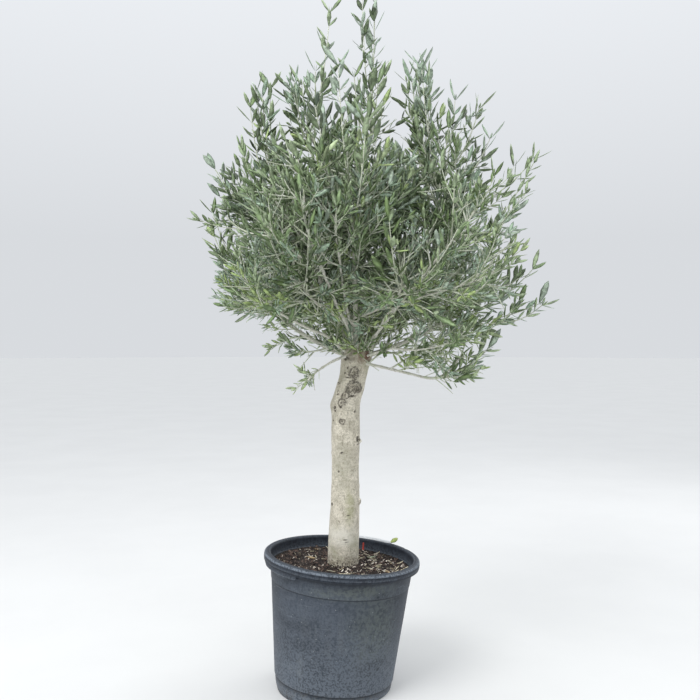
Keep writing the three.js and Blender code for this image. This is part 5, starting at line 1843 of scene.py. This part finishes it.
def twigMaterial():
    material, tree, shader, place = startMaterial("twigBark", (0.55, 0.56, 0.4), 0.7)
    patch, _ = mottle(tree, place, 30, 0.4, 0.62, 4.0)
    fine, fineHeight = mottle(tree, place, 260, 0.4, 0.62, 3.0)
    tone = mixColour(tree, patch, (0.74, 0.76, 0.66), (0.58, 0.64, 0.46))
    tone = tint(tree, tone, fine, 0.4, (0.2, 0.18, 0.12))
    finishMaterial(tree, shader, tone, fineHeight, 0.3, 0.0004)
    return material


def makeTwigs():
    mesh = bpy.data.meshes.new("twigLines")
    mesh.from_pydata(twigLines["vertices"], twigLines["edges"], [])
    setAttribute(mesh, "thick", "FLOAT", twigLines["radii"])
    lines = addObject("twigLines", mesh)
    addTree(lines, "skin", twigTree(), {"Sides": 4, "Material": twigMaterial()})
    return bakePiece(lines, "twigs")


# A leaf: lance-shaped, its edges turned down a little, one closed thin body of 24 triangles. Three
# shapes: where along it three widths are, those widths, its droop and its twist, as shares of its
# length
leafShapes = {
    "leafA": ((0.16, 0.48, 0.81), (0.14, 0.262, 0.175), 0.05, 0.1),
    "leafB": ((0.16, 0.52, 0.83), (0.13, 0.295, 0.2), 0.1, -0.16),
    "leafC": ((0.17, 0.46, 0.79), (0.125, 0.23, 0.15), -0.04, 0.22),
}
leafBody = {"edgeDrop": 0.022, "dropWidth": 0.19, "thickness": 0.012, "upperRoughness": 0.42,
            "underRoughness": 0.7}


def leafShape(name):
    stations, widths, droop, twist = leafShapes[name]
    vertices = [Vector((0, 0, 0))]
    for share, width in zip(stations, widths):
        sag = -droop * share * share
        turn = twist * share
        rib = Vector((0, share, sag))
        edge = Vector((math.cos(turn), 0, math.sin(turn))) * width / 2
        drop = up * leafBody["edgeDrop"] * width / leafBody["dropWidth"]
        vertices += [rib - edge - drop, rib, rib + edge - drop, rib - up * leafBody["thickness"]]
    vertices.append(Vector((0, 1, -droop)))
    faces, under = [], []
    count = len(stations)
    left, rib, right, low = ([1 + 4 * i + k for i in range(count)] for k in range(4))
    base, tip = 0, len(vertices) - 1
    for a, b, isUnder in ((left, rib, False), (rib, right, False), (right, low, True), (low, left, True)):
        faces.append((base, b[0], a[0]))
        for i in range(count - 1):
            faces.append((a[i], b[i], b[i + 1], a[i + 1]))
        faces.append((a[-1], b[-1], tip))
        under += [isUnder] * (count + 1)
    shapePiece = newPiece(name, vertices, faces)
    setAttribute(shapePiece.data, "under", "BOOLEAN", under, "FACE")
    return shapePiece


def leafTree():
    # Leaves from a small set, one at each point, aimed and sized by the point's attributes
    tree, start, end = startGroup("leafSprays", "GeometryNodeTree", [
        ("Geometry", "Geometry"), ("Leaves", "Collection"),
        ("Size", "Float", 1.0), ("Upper side", "Material"),
        ("Underside", "Material"),
    ], [("Geometry", "Geometry")])
    reads = {}
    for name, kind in (*leafFacts.items(), ("under", "BOOLEAN")):
        node = addNode(tree, "GeometryNodeInputNamedAttribute", {"Name": name}, data_type=kind)
        reads[name] = next(s for s in node.outputs if s.name == "Attribute" and s.enabled)
    points = tree.nodes.new("GeometryNodeMeshToPoints")
    shapes = addNode(tree, "GeometryNodeCollectionInfo", {"Separate Children": True, "Reset Children": True})
    turn = addNode(tree, "FunctionNodeAxesToRotation", primary_axis="Y", secondary_axis="Z")
    size = addNode(tree, "ShaderNodeMath", operation="MULTIPLY")
    copies = addNode(tree, "GeometryNodeInstanceOnPoints", {"Pick Instance": True})
    real = tree.nodes.new("GeometryNodeRealizeInstances")
    paintUpper = tree.nodes.new("GeometryNodeSetMaterial")
    paintUnder = tree.nodes.new("GeometryNodeSetMaterial")
    join(tree, (
        (start, "Geometry", points, "Mesh"), (start, "Leaves", shapes, "Collection"),
        (start, "Size", size, 1), (points, 0, copies, "Points"), (shapes, 0, copies, "Instance"),
        (turn, 0, copies, "Rotation"), (size, 0, copies, "Scale"), (copies, 0, real, 0),
        (real, 0, paintUpper, "Geometry"), (start, "Upper side", paintUpper, "Material"),
        (paintUpper, 0, paintUnder, "Geometry"), (start, "Underside", paintUnder, "Material"),
        (paintUnder, 0, end, "Geometry"),
    ))
    for name, target in (("aim", turn.inputs[0]), ("face", turn.inputs[1]), ("size", size.inputs[0]),
                         ("kind", copies.inputs["Instance Index"]),
                         ("under", paintUnder.inputs["Selection"])):
        tree.links.new(reads[name], target)
    return tree


def leafMaterial(name, tone, roughness):
    material, tree, shader, place = startMaterial(name, tone, roughness)
    patch, _ = mottle(tree, place, 45, 0.4, 0.6, 3.0)
    paler = [min(1, c * 1.22) for c in tone]
    darker = [c * 0.62 for c in tone]
    tone = mixColour(tree, patch, darker, paler)
    _, grainHeight = mottle(tree, place, 900, 0.4, 0.6, 2.0)
    finishMaterial(tree, shader, tone, grainHeight, 0.15, 0.0003)
    return material


def makeLeaves():
    shapes = bpy.data.collections.new("leafShapes")
    for name in leafShapes:
        piece = leafShape(name)
        bpy.context.scene.collection.objects.unlink(piece)
        shapes.objects.link(piece)
    tree = leafTree()
    made = []
    for tone, (upper, under) in leafTones.items():
        mesh = bpy.data.meshes.new("leafPoints")
        mesh.from_pydata(leafPoints[tone]["place"], [], [])
        for fact, kind in leafFacts.items():
            setAttribute(mesh, fact, kind, leafPoints[tone][fact])
        points = addObject("leafPoints", mesh)
        name = "leaf" + tone.capitalize()
        addTree(points, "leaves", tree, {
            "Leaves": shapes, "Size": 1.0,
            "Upper side": leafMaterial(name, upper, leafBody["upperRoughness"]),
            "Underside": leafMaterial(name + "Under", under, leafBody["underRoughness"]),
        })
        made.append(bakePiece(points, "leaves_" + tone))
    for piece in list(shapes.objects):
        bpy.data.objects.remove(piece)
    bpy.data.collections.remove(shapes)
    return made


def makeFallen(hue):
    # Each leaf lies just above the highest compost under its middle
    kind, colours, leaves = trifles[hue]
    vertices, faces = [], []
    for compass, reach, points, length in leaves:
        shape = leafShape(kind)
        spot = heading(compass, 0) * reach
        level = max(compostHeight(spot.x + dx, spot.y + dy) for dx in (-0.015, 0, 0.015)
                    for dy in (-0.015, 0, 0.015))
        turn = Matrix.Rotation(math.radians(points), 4, "Z") @ Matrix.Rotation(0.25, 4, "Y")
        first = len(vertices)
        vertices += [turn @ (v.co * length) + Vector((spot.x, spot.y, level + 0.004))
                     for v in shape.data.vertices]
        faces += [tuple(first + v for v in face.vertices) for face in shape.data.polygons]
        bpy.data.objects.remove(shape)
    name = "fallen_" + hue
    return newPiece(name, vertices, faces, [plainMaterial(name + "Blade", colours, 0.6)])


def makeRimLeaf():
    # One yellow-green leaf has caught on the rim at the back, its face to the front
    leaf = trifles["rimLeaf"]
    shape = leafShape("leafB")
    along = Vector(leaf["along"]).normalized()
    normal = Vector(leaf["faces"])
    normal = (normal - along * along.dot(normal)).normalized()
    turn = Matrix((along.cross(normal), along, normal)).transposed()
    foot = potTilt @ (heading(leaf["compass"], 0) * leaf["radius"] + up * (pot["height"] + 0.0005))
    length, width = leaf["length"], leaf["width"]
    vertices = [turn @ Vector((v.co.x * length, v.co.y * width, v.co.z * width)) + foot
                for v in shape.data.vertices]
    faces = [tuple(face.vertices) for face in shape.data.polygons]
    bpy.data.objects.remove(shape)
    return newPiece("rim_leaf", vertices, faces, [plainMaterial("rimLeafBlade", leaf["colours"], 0.5)])


twigPiece = makeTwigs()
leafPieces = makeLeaves()
leafPieces += [makeRimLeaf(), makeFallen("green"), makeFallen("brown")]
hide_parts(*["mass_" + mass["name"] for mass in masses])
for piece in [twigPiece] + leafPieces:
    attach(piece, "root")
print("twigs:", len(twigPiece.data.polygons), "faces; leaves:", [len(p.data.polygons) for p in leafPieces])
